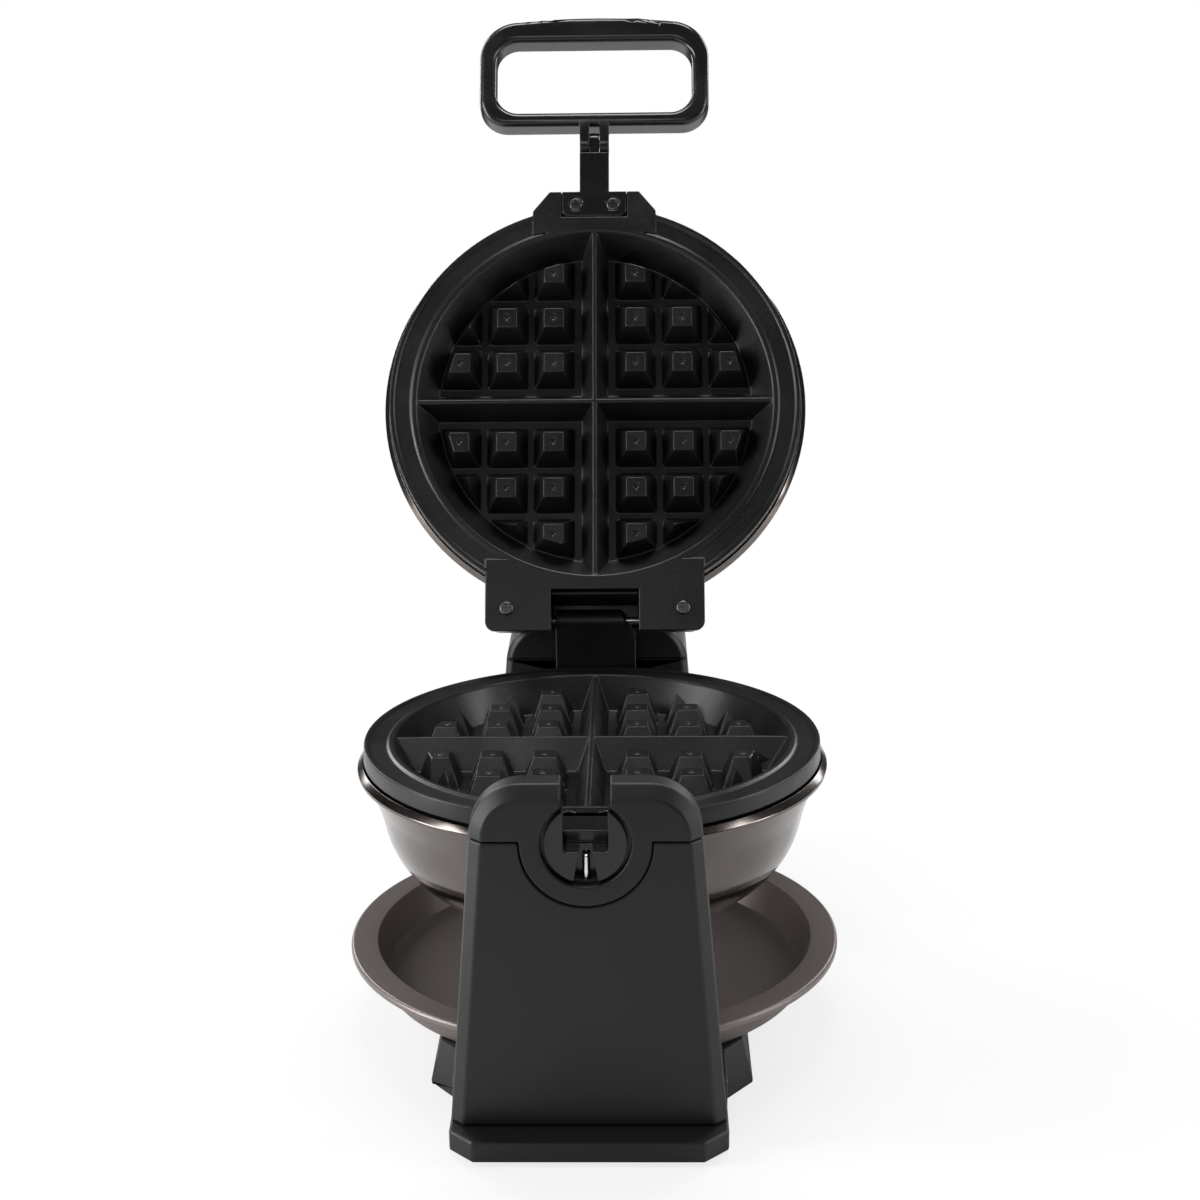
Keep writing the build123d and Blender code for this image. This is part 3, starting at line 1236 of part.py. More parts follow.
def base_frame():
    """The hollow base: the long plinth and its drafted middle block, open underneath."""
    long_body = Pos(0, 0, BASE_BOTTOM_Z) * extrude(plinth_outline(), PLINTH_TOP_Z - BASE_BOTTOM_Z)
    height = DECK_Z - BASE_BOTTOM_Z
    draft = degrees(atan(MID_DRAFT / height))
    middle = Pos(0, 0, BASE_BOTTOM_Z) * extrude(middle_outline(), height, taper=draft)
    neck_y0 = TOWER_BACK_Y + SEAT_GAP
    neck_y1 = REAR_FRONT_Y - SEAT_GAP
    neck = block(
        -NECK_BASE_HALF, NECK_BASE_HALF, neck_y0, neck_y1, BASE_BOTTOM_Z, DECK_Z
    )
    solid = long_body + [middle, neck]
    inner_plan = Pos(0, (PLINTH_BACK_Y + PLINTH_FRONT_Y) / 2) * chamfer(
        Rectangle(
            2 * NECK_BASE_HALF - 2 * BASE_WALL, PLINTH_BACK_Y - PLINTH_FRONT_Y - 2 * BASE_WALL
        ).vertices(),
        PLINTH_CHAMFER - BASE_WALL / 2,
    )
    low = BASE_BOTTOM_Z - 1
    long_hollow = Pos(0, 0, low) * extrude(inner_plan, PLINTH_TOP_Z - BASE_WALL - low)
    mid_hollow = block(
        -MID_HALF_X + BASE_WALL + MID_DRAFT,
        MID_HALF_X - BASE_WALL - MID_DRAFT,
        -MID_HALF_Y + BASE_WALL + MID_DRAFT,
        MID_HALF_Y - BASE_WALL - MID_DRAFT,
        low,
        DECK_Z - BASE_WALL,
    )
    solid -= [long_hollow, mid_hollow]
    cover_top = BASE_BOTTOM_Z + COVER_THICK
    for x, y in cover_screw_places():
        solid += rod(BOSS_R, cover_top, DECK_Z - BASE_WALL + 1, (x, y))
        solid -= rod(SCREW_R + FIT_GAP, cover_top - 1, cover_top + SCREW_BITE, (x, y))
    for x, y in tower_screw_places():
        solid -= rod(SCREW_R + SCREW_GAP, PLINTH_TOP_Z - 2 * BASE_WALL, PLINTH_TOP_Z + 1, (x, y))
    return solid


def cover_screw_places():
    """Centres of the screws that hold the bottom cover."""
    return [(sx * COVER_SCREW_X, sy * COVER_SCREW_Y) for sx in (-1, 1) for sy in (-1, 1)]


def tower_screw_places():
    """Centres of the screws up through the plinths into the towers and the pedestal."""
    front_y = (TOWER_FRONT_Y + TOWER_BACK_Y) / 2
    pedestal_y = PEDESTAL_Y + PEDESTAL_LENGTH / 2
    places = []
    for side in (-1, 1):
        places += [
            (side * TOWER_SCREW_X, front_y),
            (side * TOWER_SCREW_X, REAR_SCREW_Y),
            (side * KEEPER_SCREW_X, pedestal_y),
        ]
    return places


def base_cover():
    """The sheet that closes the base from below."""
    gap = BASE_WALL + COVER_INSET
    long_plan = Pos(0, (PLINTH_BACK_Y + PLINTH_FRONT_Y) / 2) * chamfer(
        Rectangle(
            2 * NECK_BASE_HALF - 2 * gap, PLINTH_BACK_Y - PLINTH_FRONT_Y - 2 * gap
        ).vertices(),
        PLINTH_CHAMFER - BASE_WALL / 2,
    )
    mid_plan = Rectangle(
        2 * (MID_HALF_X - gap - MID_DRAFT), 2 * (MID_HALF_Y - gap - MID_DRAFT)
    )
    sheet = Pos(0, 0, BASE_BOTTOM_Z) * extrude(long_plan + mid_plan, COVER_THICK)
    for place in cover_screw_places():
        sheet -= rod(SCREW_R + SCREW_GAP, BASE_BOTTOM_Z - 1, BASE_BOTTOM_Z + COVER_THICK + 1, place)
    for place in foot_places():
        sheet -= rod(FOOT_STUB_R + SCREW_GAP, BASE_BOTTOM_Z - 1, BASE_BOTTOM_Z + COVER_THICK + 1, place)
    return sheet


def cover_screws():
    """The screws up through the bottom cover."""
    turned = Rot(180, 0, 0) * flat_screw()
    return union([Pos(x, y, BASE_BOTTOM_Z) * turned for x, y in cover_screw_places()])


def flat_screw():
    """A low-headed screw that stays above the table between the feet."""
    head = rod(SCREW_HEAD_R, 0, BASE_RISE * 0.6)
    return head + rod(SCREW_R, -SCREW_BITE, 0)


def tower_screws():
    """The screws up into the towers and the pedestal."""
    turned = Rot(180, 0, 0) * screw(BASE_WALL + SCREW_BITE)
    z = PLINTH_TOP_Z - BASE_WALL
    return union([Pos(x, y, z) * turned for x, y in tower_screw_places()])


def foot_places():
    """Centres of the four rubber feet."""
    return [(sx * FOOT_X, y) for sx in (-1, 1) for y in (FOOT_FRONT_Y, FOOT_BACK_Y)]


def rubber_feet():
    """The four rubber feet with the stubs that hold them in the bottom cover."""
    feet = []
    for place in foot_places():
        foot = rod(FOOT_R, TABLE_Z, BASE_BOTTOM_Z, place)
        top = BASE_BOTTOM_Z + COVER_THICK + FOOT_STUB
        feet.append(foot + rod(FOOT_STUB_R, BASE_BOTTOM_Z, top, place))
    return union(feet)


def drip_tray():
    """The round tray that catches batter under the cooking head."""
    floor_z = TRAY_RIM_Z - TRAY_DEPTH
    return spun(
        [
            (0, floor_z),
            (TRAY_FLOOR_R, floor_z),
            (TRAY_RIM_INNER_R, TRAY_RIM_Z),
            (TRAY_R - 1, TRAY_RIM_Z),
            (TRAY_R, TRAY_RIM_Z - 1),
            (TRAY_R, TRAY_RIM_Z - TRAY_SKIRT),
            (TRAY_R - TRAY_WALL, TRAY_RIM_Z - TRAY_SKIRT),
            (TRAY_R - TRAY_WALL, TRAY_RIM_Z - TRAY_WALL),
            (TRAY_RIM_INNER_R + TRAY_WALL, TRAY_RIM_Z - TRAY_WALL),
            (TRAY_FLOOR_R + TRAY_WALL, TRAY_BOTTOM_Z),
            (0, TRAY_BOTTOM_Z),
        ]
    )


def everything():
    """Each node's solid by name, still about the split plane."""
    element = heater()
    dish = reflector()
    posts = standoffs()
    bowl_fixings = bowl_screws()
    sensor = thermostat()
    fuse = thermal_fuse()
    nodes = {
        "base_frame": base_frame(),
        "base_cover": base_cover(),
        "cover_screws": cover_screws(),
        "rubber_feet": rubber_feet(),
        "tower_screws": tower_screws(),
        "front_tower": front_tower(),
        "front_cap": front_cap(),
        "front_bush": front_bush(),
        "cap_screws": cap_screws(),
        "lock_guide": lock_guide(),
        "lock_spring": lock_spring(),
        "lock_pin": lock_pin(),
        "rear_tower": rear_tower(),
        "rear_cap": rear_cap(),
        "rear_pedestal": rear_pedestal(),
        "rear_bush": rear_bush(),
        "rear_keeper": rear_keeper(),
        "keeper_screws": keeper_screws(),
        "cord_gland": cord_gland(),
        "terminal_block": terminal_block(),
        "drip_tray": drip_tray(),
        "lower_plate": lower_plate(),
        "lower_bowl": lower_bowl(),
        "lower_gasket": lower_gasket(),
        "lower_heater": element,
        "lower_reflector": dish,
        "lower_standoffs": posts,
        "lower_bowl_screws": bowl_fixings,
        "lower_thermostat": sensor,
        "lower_fuse": fuse,
        "front_trunnion": front_trunnion(),
        "trunnion_screws": trunnion_screws(),
        "hinge_bracket": hinge_bracket(),
        "bracket_screws": bracket_screws(),
        "shaft_collar": shaft_collar(),
    }
    closed = {
        "lid_plate": lid_plate(),
        "lid_bowl": lid_bowl(),
        "lid_gasket": mirror(gasket(), about=Plane.XY),
        "lid_heater": mirror(element, about=Plane.XY),
        "lid_reflector": mirror(dish, about=Plane.XY),
        "lid_standoffs": mirror(posts, about=Plane.XY),
        "lid_bowl_screws": mirror(bowl_fixings, about=Plane.XY),
        "lid_thermostat": mirror(sensor, about=Plane.XY),
        "lid_fuse": mirror(fuse, about=Plane.XY),
        "lid_bracket": lid_bracket(),
        "hinge_pin": hinge_pin(),
        "lug_screws": lug_screws(),
        "handle_neck": handle_neck(),
        "neck_screws": neck_screws(),
        "handle_pin": handle_pin(),
        "handle_loop": handle_loop(),
    }
    for name, piece in closed.items():
        nodes[name] = opened(piece)
    return nodes


def main():
    nodes = everything()
    boxes = [piece.bounding_box() for piece in nodes.values()]
    front = min(box.min.Y for box in boxes)
    back = max(box.max.Y for box in boxes)
    shift = Pos(0, -(front + back) / 2, -TABLE_Z)
    for name, piece in nodes.items():
        export_step(shift * piece, f"parts/{name}.step")
    print("shift", shift.position)


main()
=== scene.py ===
import json
import math
import bmesh
import bpy
from mathutils import Matrix, Vector
from mathutils.bvhtree import BVHTree


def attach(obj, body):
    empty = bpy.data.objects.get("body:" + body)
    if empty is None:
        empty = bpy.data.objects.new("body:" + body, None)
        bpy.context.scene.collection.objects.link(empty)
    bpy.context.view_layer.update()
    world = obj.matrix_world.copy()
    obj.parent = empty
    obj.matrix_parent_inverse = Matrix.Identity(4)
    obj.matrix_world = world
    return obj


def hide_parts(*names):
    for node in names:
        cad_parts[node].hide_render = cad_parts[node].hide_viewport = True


mm = 0.001
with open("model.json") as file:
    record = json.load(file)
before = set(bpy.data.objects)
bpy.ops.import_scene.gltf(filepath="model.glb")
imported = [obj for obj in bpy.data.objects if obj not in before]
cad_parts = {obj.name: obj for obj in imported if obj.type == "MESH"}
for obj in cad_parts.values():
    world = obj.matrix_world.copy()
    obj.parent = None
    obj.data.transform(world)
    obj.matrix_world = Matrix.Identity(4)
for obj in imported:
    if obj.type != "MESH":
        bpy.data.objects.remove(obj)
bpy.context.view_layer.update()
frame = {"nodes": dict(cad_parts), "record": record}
nodes = frame["nodes"]
print("frame loaded", len(nodes), "nodes")


# A socket that can be added, subtracted and multiplied, and adds its Math nodes by itself
class Wire:
    def __init__(self, paint, socket):
        self.paint = paint
        self.socket = socket

    def maths(self, operation, other, flip=False):
        first, second = (other, self) if flip else (self, other)
        return self.paint.add("ShaderNodeMath", {"operation": operation}, {0: first, 1: second})

    def __add__(self, other):
        return self.maths("ADD", other)

    def __radd__(self, other):
        return self.maths("ADD", other, True)

    def __sub__(self, other):
        return self.maths("SUBTRACT", other)

    def __rsub__(self, other):
        return self.maths("SUBTRACT", other, True)

    def __mul__(self, other):
        return self.maths("MULTIPLY", other)

    def __rmul__(self, other):
        return self.maths("MULTIPLY", other, True)

    def spread(self, low, high, band):  # eases from low to high over a band of its values
        start, end = band
        inputs = {"Value": self, "From Min": start, "From Max": end, "To Min": low, "To Max": high}
        return self.paint.add("ShaderNodeMapRange", {"interpolation_type": "SMOOTHSTEP"}, inputs)


noiseBand = (0.3, 0.7)  # a noise lies mostly between these
cornerBand = (0.02, 0.22)  # lean of the softened normal where a corner starts and where it is full
cornerSamples = 4


# One node tree and the short ways to fill it
class Paint:
    def __init__(self, tree):
        self.tree = tree
        tree.nodes.clear()

    def add(self, kind, settings=None, inputs=None, output=0):
        node = self.tree.nodes.new(kind)
        for key, value in (settings or {}).items():
            setattr(node, key, value)
        for key, value in (inputs or {}).items():
            if isinstance(value, Wire):
                self.tree.links.new(value.socket, node.inputs[key])
            else:
                node.inputs[key].default_value = value
        return Wire(self, node.outputs[output] if node.outputs else None)  # an output node has none

    def place(self):  # the point on the piece, in metres of the frame
        return self.add("ShaderNodeTexCoord", output="Object")

    def noise(self, scale, detail=2.0, rough=0.5, point=None):
        inputs = {"Vector": point or self.place(), "Scale": scale, "Detail": detail, "Roughness": rough}
        return self.add("ShaderNodeTexNoise", {}, inputs)

    def stretched(self, scale):  # the point with its axes scaled
        return self.add("ShaderNodeMapping", {}, {"Vector": self.place(), "Scale": scale})

    def blend(self, share, first, second):  # colours mixed by a share
        settings = {"data_type": "RGBA", "clamp_factor": True}
        return self.add("ShaderNodeMix", settings, {0: share, 6: first, 7: second}, 2)

    def rounded(self, radius):  # the normal with the corners softened
        return self.add("ShaderNodeBevel", {"samples": cornerSamples}, {"Radius": radius})

    def corners(self, softened):  # 0 on flat ground, rising to 1 on a sharp corner
        true = self.add("ShaderNodeNewGeometry", output="Normal")
        inputs = {0: softened, 1: true}
        same = self.add("ShaderNodeVectorMath", {"operation": "DOT_PRODUCT"}, inputs, "Value")
        return (1.0 - same).spread(0.0, 1.0, cornerBand)

    def bump(self, height, strength, distance, normal=None):
        inputs = {"Height": height, "Strength": strength, "Distance": distance}
        if normal is not None:
            inputs["Normal"] = normal
        return self.add("ShaderNodeBump", {}, inputs)


def colour(red, green, blue):
    return (red, green, blue, 1.0)


def newFinish(name):
    material = bpy.data.materials.new(name)
    material.use_nodes = True
    return material, Paint(material.node_tree)


def closeFinish(paint, inputs):
    shader = paint.add("ShaderNodeBsdfPrincipled", {}, inputs)
    paint.add("ShaderNodeOutputMaterial", {}, {"Surface": shader})


# Dark release coating on the cast plates: black, finely speckled, satin, with a painted highlight that
# makes the corners paler in patches
coatingLook = {
    "base": colour(0.0060, 0.0064, 0.0061),
    "fleck": colour(0.036, 0.036, 0.034),
    "paintedCornerHighlight": colour(0.07, 0.068, 0.064),
    "fleckNoise": (1900.0, 3.0, 0.6),  # scale, detail and roughness
    "grainNoise": (1300.0, 2.0),
    "cloudNoise": (24.0, 4.0),
    "fleckBand": (0.56, 0.68),
    "fleckShare": 0.75,
    "paintedCornerHighlightShare": 0.4,
    "specular": 0.36,
    "rough": (0.27, 0.40),
    "fleckRough": 0.06,
    "cornerRough": 0.05,
    "cloudHeight": 0.4,
    "cornerRadius": 0.55 * mm,
    "bump": (0.22, 0.12 * mm),
}


def coatingFinish(look):
    material, paint = newFinish("releaseCoating")
    soft = paint.rounded(look["cornerRadius"])
    corner = paint.corners(soft)
    cloud = paint.noise(*look["cloudNoise"])
    flecks = paint.noise(*look["fleckNoise"]).spread(0.0, 1.0, look["fleckBand"])
    body = paint.blend(flecks * look["fleckShare"], look["base"], look["fleck"])
    rough = cloud.spread(*look["rough"], noiseBand)
    height = paint.noise(*look["grainNoise"]) + cloud * look["cloudHeight"]
    closeFinish(paint, {
        # painted highlight: a paler colour on the rounded corners, where the cloud noise is high
        "Base Color": paint.blend(corner * look["paintedCornerHighlightShare"] * cloud, body, look["paintedCornerHighlight"]),
        "Roughness": rough + flecks * look["fleckRough"] - corner * look["cornerRough"],
        "Specular IOR Level": look["specular"],
        "Normal": paint.bump(height, *look["bump"], soft),
    })
    return material


# Bowl skin: dark polished metal with faint level lines and a few duller patches
bowlLook = {
    "base": colour(0.155, 0.138, 0.130),
    "shade": colour(0.115, 0.102, 0.096),
    "markNoise": (17.0, 5.0, 0.62),
    "hazeNoise": (153.0, 3.0),
    "lineNoise": (900.0, 2.0, 0.5),
    "markBand": (0.42, 0.72),
    "rough": (0.115, 0.20),
    "hazeRough": 0.03,
    "hazeHeight": 0.6,
    "bump": (0.05, 0.05 * mm),
}


def bowlFinish(look):
    material, paint = newFinish("polishedBowl")
    marks = paint.noise(*look["markNoise"])
    haze = paint.noise(*look["hazeNoise"])
    level = paint.add("ShaderNodeSeparateXYZ", {}, {"Vector": paint.place()}, "Z")
    lines = paint.noise(*look["lineNoise"], paint.add("ShaderNodeCombineXYZ", {}, {"X": level}))
    closeFinish(paint, {
        "Base Color": paint.blend(marks, look["base"], look["shade"]),
        "Metallic": 1.0,
        "Roughness": marks.spread(*look["rough"], look["markBand"]) + haze * look["hazeRough"],
        "Normal": paint.bump(lines + haze * look["hazeHeight"], *look["bump"]),
    })
    return material


# Charcoal plastic of the base and towers: satin, with a fine spark texture and a painted highlight that
# makes the corners slightly paler
shellLook = {
    "base": colour(0.0105, 0.0105, 0.0100),
    "shade": colour(0.0080, 0.0080, 0.0077),
    "paintedEdgeHighlight": colour(0.040, 0.039, 0.038),
    "sparkNoise": (2300.0, 2.0, 0.6),
    "cloudNoise": (9.0, 5.0, 0.55),
    "paintedEdgeHighlightShare": 0.35,
    "specular": 0.36,
    "rough": (0.36, 0.46),
    "sparkRough": 0.05,
    "cornerRadius": 0.7 * mm,
    "bump": (0.16, 0.08 * mm),
}


def shellFinish(look):
    material, paint = newFinish("charcoalShell")
    soft = paint.rounded(look["cornerRadius"])
    corner = paint.corners(soft)
    spark = paint.noise(*look["sparkNoise"])
    cloud = paint.noise(*look["cloudNoise"])
    body = paint.blend(cloud, look["base"], look["shade"])
    closeFinish(paint, {
        # painted highlight: a paler colour on the rounded corners
        "Base Color": paint.blend(corner * look["paintedEdgeHighlightShare"], body, look["paintedEdgeHighlight"]),
        "Roughness": cloud.spread(*look["rough"], noiseBand) + spark * look["sparkRough"],
        "Specular IOR Level": look["specular"],
        "Normal": paint.bump(spark, *look["bump"], soft),
    })
    return material


# Glossy black heat-proof plastic of the grip, neck and drum
glossLook = {
    "base": colour(0.0045, 0.0045, 0.0045),
    "dust": colour(0.012, 0.012, 0.012),
    "smudgeNoise": (32.0, 6.0, 0.6),
    "waveNoise": (14.0, 1.0),
    "smudgeBand": (0.35, 0.7),
    "specular": 0.45,
    "rough": (0.16, 0.29),
    "cornerRadius": 0.6 * mm,
    "bump": (0.06, 0.4 * mm),
}


def glossFinish(look):
    material, paint = newFinish("glossBlack")
    soft = paint.rounded(look["cornerRadius"])
    smudge = paint.noise(*look["smudgeNoise"])
    closeFinish(paint, {
        "Base Color": paint.blend(smudge, look["base"], look["dust"]),
        "Roughness": smudge.spread(*look["rough"], look["smudgeBand"]),
        "Specular IOR Level": look["specular"],
        "Normal": paint.bump(paint.noise(*look["waveNoise"]), *look["bump"], soft),
    })
    return material


# Satin casting of the hinge arm and the lid's hinge block, with a painted highlight that makes the corners
# paler in patches
castingLook = {
    "base": colour(0.0060, 0.0062, 0.0060),
    "paintedCornerGlint": colour(0.055, 0.054, 0.052),
    "grainNoise": (900.0, 3.0, 0.6),
    "cloudNoise": (40.0, 4.0),
    "paintedCornerGlintShare": 0.45,
    "specular": 0.36,
    "rough": (0.33, 0.46),
    "cornerRadius": 0.6 * mm,
    "bump": (0.2, 0.15 * mm),
}


def castingFinish(look):
    material, paint = newFinish("satinCasting")
    soft = paint.rounded(look["cornerRadius"])
    corner = paint.corners(soft)
    cloud = paint.noise(*look["cloudNoise"])
    closeFinish(paint, {
        # painted highlight: a paler colour on the rounded corners, where the cloud noise is high
        "Base Color": paint.blend(corner * look["paintedCornerGlintShare"] * cloud, look["base"], look["paintedCornerGlint"]),
        "Roughness": cloud.spread(*look["rough"], noiseBand),
        "Specular IOR Level": look["specular"],
        "Normal": paint.bump(paint.noise(*look["grainNoise"]), *look["bump"], soft),
    })
    return material


# Satin coated sheet of the drip tray, brownish grey, with faint scuffs from use
trayLook = {
    "base": colour(0.215, 0.185, 0.177),
    "shade": colour(0.175, 0.150, 0.143),
    "scuff": colour(0.27, 0.24, 0.23),
    "cloudNoise": (7.5, 4.0),
    "scuffNoise": (540.0, 2.0, 0.7),
    "grainNoise": (2400.0, 2.0),
    "scuffStretch": (1.0, 0.12, 1.0),
    "scuffBand": (0.66, 0.75),
    "scuffShare": 0.25,
    "metal": 0.55,
    "rough": (0.34, 0.44),
    "scuffRough": 0.04,
    "bump": (0.1, 0.05 * mm),
}


def trayFinish(look):
    material, paint = newFinish("coatedTray")
    cloud = paint.noise(*look["cloudNoise"])
    scuff = paint.noise(*look["scuffNoise"], paint.stretched(look["scuffStretch"]))
    scuff = scuff.spread(0.0, 1.0, look["scuffBand"])
    body = paint.blend(cloud, look["base"], look["shade"])
    closeFinish(paint, {
        "Base Color": paint.blend(scuff * look["scuffShare"], body, look["scuff"]),
        "Metallic": look["metal"],
        "Roughness": cloud.spread(*look["rough"], noiseBand) + scuff * look["scuffRough"],
        "Normal": paint.bump(paint.noise(*look["grainNoise"]), *look["bump"]),
    })
    return material


# Plain steel, with fine lines along the height, and duller in spots
steelLook = {
    "base": colour(0.50, 0.50, 0.49),
    "dull": colour(0.30, 0.29, 0.28),
    "lineNoise": (1500.0, 2.0, 0.5),
    "lineStretch": (1.0, 1.0, 0.08),
    "spotNoise": (120.0, 4.0, 0.6),
    "rough": (0.22, 0.42),
    "lineRough": 0.05,
    "bump": (0.15, 0.05 * mm),
}


def steelFinish(name, look):
    material, paint = newFinish(name)
    lines = paint.noise(*look["lineNoise"], paint.stretched(look["lineStretch"]))
    spots = paint.noise(*look["spotNoise"])
    closeFinish(paint, {
        "Base Color": paint.blend(spots, look["base"], look["dull"]),
        "Metallic": 1.0,
        "Roughness": spots.spread(*look["rough"], noiseBand) + lines * look["lineRough"],
        "Normal": paint.bump(lines, *look["bump"]),
    })
    return material


# Dull dusty stuff: rubber, and with other colours the nylon bushes and the ceramic
softLook = {
    "base": colour(0.012, 0.012, 0.012),
    "dust": colour(0.045, 0.043, 0.040),
    "grainNoise": (1100.0, 2.0),
    "dustNoise": (55.0, 5.0, 0.65),
    "dustBand": (0.5, 0.8),
    "dustShare": 0.6,
    "rough": (0.62, 0.82),
    "bump": (0.3, 0.15 * mm),
}


def softFinish(name, look):
    material, paint = newFinish(name)
    dust = paint.noise(*look["dustNoise"])
    settled = dust.spread(0.0, look["dustShare"], look["dustBand"])
    closeFinish(paint, {
        "Base Color": paint.blend(settled, look["base"], look["dust"]),
        "Roughness": dust.spread(*look["rough"], noiseBand),
        "Normal": paint.bump(paint.noise(*look["grainNoise"]), *look["bump"]),
    })
    return material


# The same finishes in other colours and with another shine
chromeLook = dict(
    steelLook, base=colour(0.78, 0.78, 0.77), dull=colour(0.62, 0.62, 0.61), rough=(0.05, 0.12),
)
screwLook = dict(
    steelLook, base=colour(0.16, 0.16, 0.155), dull=colour(0.07, 0.07, 0.068), rough=(0.25, 0.4),
)
sheathLook = dict(
    steelLook, base=colour(0.22, 0.21, 0.20), dull=colour(0.10, 0.09, 0.085), rough=(0.4, 0.6),
)
ceramicLook = dict(
    softLook, base=colour(0.72, 0.71, 0.67), dust=colour(0.55, 0.52, 0.46), rough=(0.35, 0.5),
)
nylonLook = dict(
    softLook, base=colour(0.02, 0.02, 0.021), dust=colour(0.03, 0.03, 0.03), rough=(0.35, 0.5),
)

finishes = {
    "nonstick_cast": coatingFinish(coatingLook),
    "polished_bowl": bowlFinish(bowlLook),
    "dark_casting": castingFinish(castingLook),
    "gloss_black": glossFinish(glossLook),
    "base_plastic": shellFinish(shellLook),
    "tray_dark": trayFinish(trayLook),
    "bush_nylon": softFinish("nylonBush", nylonLook),
    "rubber": softFinish("rubber", softLook),
    "steel": steelFinish("plainSteel", steelLook),
    "chrome_pin": steelFinish("brightPin", chromeLook),
    "screw_steel": steelFinish("blackedScrews", screwLook),
    "heater_sheath": steelFinish("heaterSheath", sheathLook),
    "ceramic_white": softFinish("ceramic", ceramicLook),
}
print("finishes made", len(finishes))

slotOf = {entry["node"]: entry["material_slot"] for entry in frame["record"]["subparts"]}
for name, node in nodes.items():
    for place in node.material_slots:
        place.material = finishes[slotOf[name]]
print("finishes given to", len(nodes), "nodes")


# Pieces whose corners are rounded in the mesh: width of the round in mm, rings along it,
# and the angle in degrees from which an edge counts as a corner
roundedCorners = {
    "lower_plate": {"body": "head", "width": 0.6, "rings": 2, "angle": 22},
    "lid_plate": {"body": "lid", "width": 0.6, "rings": 2, "angle": 22},
    "front_tower": {"body": "base", "width": 1.1, "rings": 3, "angle": 25},
    "front_cap": {"body": "base", "width": 0.9, "rings": 3, "angle": 25},
    "rear_tower": {"body": "base", "width": 1.1, "rings": 3, "angle": 25},
    "rear_cap": {"body": "base", "width": 0.8, "rings": 3, "angle": 25},
    "base_frame": {"body": "base", "width": 1.1, "rings": 3, "angle": 25},
    "front_trunnion": {"body": "head", "width": 0.35, "rings": 2, "angle": 25},
    "hinge_bracket": {"body": "head", "width": 0.7, "rings": 2, "angle": 25},
    "lid_bracket": {"body": "lid", "width": 0.7, "rings": 2, "angle": 25},
    "handle_neck": {"body": "lid", "width": 0.5, "rings": 2, "angle": 25},
    "handle_loop": {"body": "handle", "width": 0.6, "rings": 2, "angle": 30},
    "drip_tray": {"body": "tray", "width": 0.45, "rings": 2, "angle": 20},
    "lower_bowl": {"body": "head", "width": 0.3, "rings": 2, "angle": 30},
    "lid_bowl": {"body": "lid", "width": 0.3, "rings": 2, "angle": 30},
}
weldGap = 0.05 * mm  # points nearer than this become one before the corners are rounded
flatAngle = math.radians(0.6)  # faces that turn less than this are one flat face
arcProfile = 0.5  # the round is a part of a circle
flatFaceWeight = 80  # how much the big faces rule the shading


def roundCorners(name, look):
    source = nodes[name].data
    work = bmesh.new()
    work.from_mesh(source)
    bmesh.ops.remove_doubles(work, verts=work.verts, dist=weldGap)
    bmesh.ops.dissolve_degenerate(work, edges=work.edges, dist=weldGap)
    bmesh.ops.dissolve_limit(work, angle_limit=flatAngle, verts=work.verts, edges=work.edges)
    corner = math.radians(look["angle"])
    sharp = [edge for edge in work.edges if edge.is_manifold and edge.calc_face_angle(0.0) > corner]
    width = look["width"] * mm
    bmesh.ops.bevel(
        work, geom=sharp, offset=width, offset_type="OFFSET", segments=look["rings"],
        profile=arcProfile, affect="EDGES", clamp_overlap=False, miter_outer="SHARP",
    )
    points = [vertex.co for vertex in source.vertices]
    skin = BVHTree.FromPolygons(points, [face.vertices for face in source.polygons])
    for vertex in work.verts:  # a point that strays from the solid's own skin goes back to it
        nearest, _, _, away = skin.find_nearest(vertex.co)
        if away > width:
            vertex.co = nearest
    for face in work.faces:
        face.smooth = True
    mesh = bpy.data.meshes.new(name + "Rounded")
    work.to_mesh(mesh)
    work.free()
    mesh.materials.append(finishes[slotOf[name]])
    piece = bpy.data.objects.new(name + "_rounded", mesh)
    bpy.context.scene.collection.objects.link(piece)
    weighted = piece.modifiers.new("flatFaces", "WEIGHTED_NORMAL")
    weighted.weight = flatFaceWeight
    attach(piece, look["body"])
    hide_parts(name)


for name, look in roundedCorners.items():
    roundCorners(name, look)
print("corners rounded on", len(roundedCorners), "pieces")


# Studio: a pale floor that fades into a white world, and soft lamps at the sides, over, behind and in front
studio = {
    "floorHalf": 3.0,
    "floorColour": colour(0.86, 0.86, 0.86),
    "fade": (0.30, 0.75),  # from the middle out, where the floor starts to go white and where it is white
    "glow": 0.78,  # how white it is in the middle already
    "ambient": 0.07,
    "mirrorAmbient": 0.06,  # the white world as polished pieces see it
}


def makeWorld(settings):
    world = bpy.data.worlds.new("studioWorld")
    world.use_nodes = True
    paint = Paint(world.node_tree)
    seen = paint.add("ShaderNodeLightPath", output="Is Camera Ray")
    mirrored = paint.add("ShaderNodeLightPath", output="Is Glossy Ray")
    extra = settings["mirrorAmbient"] - settings["ambient"]
    strength = seen + (1.0 - seen) * (mirrored * extra + settings["ambient"])
    sky = paint.add("ShaderNodeBackground", {}, {"Color": colour(1.0, 1.0, 1.0), "Strength": strength})
    paint.add("ShaderNodeOutputWorld", {}, {"Surface": sky})
    bpy.context.scene.world = world


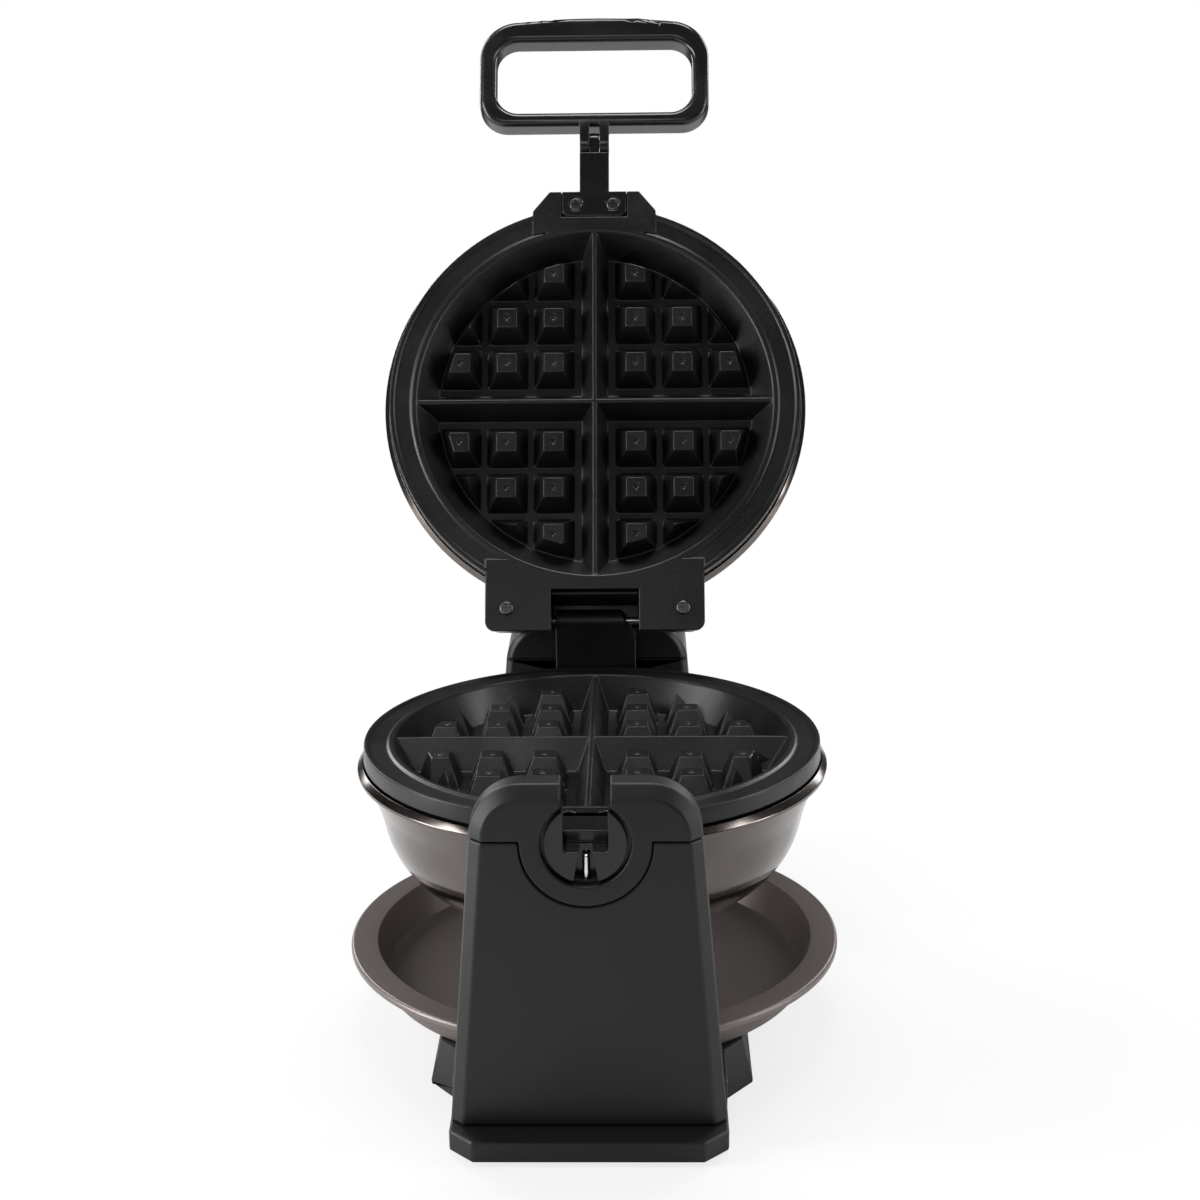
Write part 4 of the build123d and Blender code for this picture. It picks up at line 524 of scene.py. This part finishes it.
def makeFloor(settings):
    half = settings["floorHalf"]
    mesh = bpy.data.meshes.new("studioFloor")
    rim = [(-half, -half, 0), (half, -half, 0), (half, half, 0), (-half, half, 0)]
    mesh.from_pydata(rim, [], [(0, 1, 2, 3)])
    floor = bpy.data.objects.new("studioFloor", mesh)
    bpy.context.scene.collection.objects.link(floor)
    material, paint = newFinish("studioFloor")
    point = paint.place()
    away = paint.add("ShaderNodeVectorMath", {"operation": "LENGTH"}, {0: point}, "Value")
    share = away.spread(settings["glow"], 1.0, settings["fade"])
    seen = paint.add("ShaderNodeLightPath", output="Is Camera Ray")
    matt = paint.add("ShaderNodeBsdfDiffuse", {}, {"Color": settings["floorColour"]})
    white = paint.add("ShaderNodeEmission", {}, {"Color": colour(1.0, 1.0, 1.0), "Strength": 1.0})
    mixed = paint.add("ShaderNodeMixShader", {}, {0: share * seen, 1: matt, 2: white})
    paint.add("ShaderNodeOutputMaterial", {}, {"Surface": mixed})
    mesh.materials.append(material)


lamps = {
    "leftPanel": {
        "place": (-0.95, -0.25, 0.50), "aim": (0.0, -0.05, 0.2), "size": (0.28, 1.0), "power": 11.0,
    },
    "rightPanel": {
        "place": (0.95, -0.15, 0.50), "aim": (0.0, -0.05, 0.2), "size": (0.18, 0.9), "power": 5.0,
    },
    "overhead": {
        "place": (0.0, 0.25, 1.30), "aim": (0.0, 0.0, 0.1), "size": (0.7, 0.35), "power": 9.0,
    },
    "backLeft": {
        "place": (-0.70, 0.80, 0.70), "aim": (0.0, 0.0, 0.2), "size": (0.25, 0.8), "power": 6.0,
    },
    "backRight": {
        "place": (0.70, 0.80, 0.70), "aim": (0.0, 0.0, 0.2), "size": (0.25, 0.8), "power": 5.0,
    },
    "frontFill": {
        "place": (-0.25, -1.6, 0.95), "aim": (0.0, 0.0, 0.2), "size": (0.8, 0.5), "power": 3.5,
    },
}


def makeLamp(name, look):
    lamp = bpy.data.lights.new(name, "AREA")
    lamp.shape = "RECTANGLE"
    lamp.size, lamp.size_y = look["size"]
    lamp.energy = look["power"]
    holder = bpy.data.objects.new(name, lamp)
    bpy.context.scene.collection.objects.link(holder)
    holder.location = look["place"]
    toward = Vector(look["aim"]) - Vector(look["place"])
    holder.rotation_euler = toward.to_track_quat("-Z", "Y").to_euler()


# Camera as in the photograph
view = {
    "place": (0.0225, -0.9905, 0.4677),
    "toward": (-0.0231, 0.9630, -0.2687),
    "roll": -0.012,
    "sensor": 36.0,
    "lens": 63.21,
    "shift": (0.0081, 0.0005),
}


def makeCamera(look):
    camera = bpy.data.objects.new("camera", bpy.data.cameras.new("camera"))
    bpy.context.scene.collection.objects.link(camera)
    camera.data.sensor_width = look["sensor"]
    camera.data.lens = look["lens"]
    camera.data.shift_x, camera.data.shift_y = look["shift"]
    turn = Vector(look["toward"]).to_track_quat("-Z", "Y").to_matrix().to_4x4()
    camera.matrix_world = Matrix.Translation(look["place"]) @ turn @ Matrix.Rotation(look["roll"], 4, "Z")
    bpy.context.scene.camera = camera


makeWorld(studio)
makeFloor(studio)
for name, look in lamps.items():
    makeLamp(name, look)
makeCamera(view)
bpy.context.scene.view_settings.view_transform = "Standard"
print("studio ready")
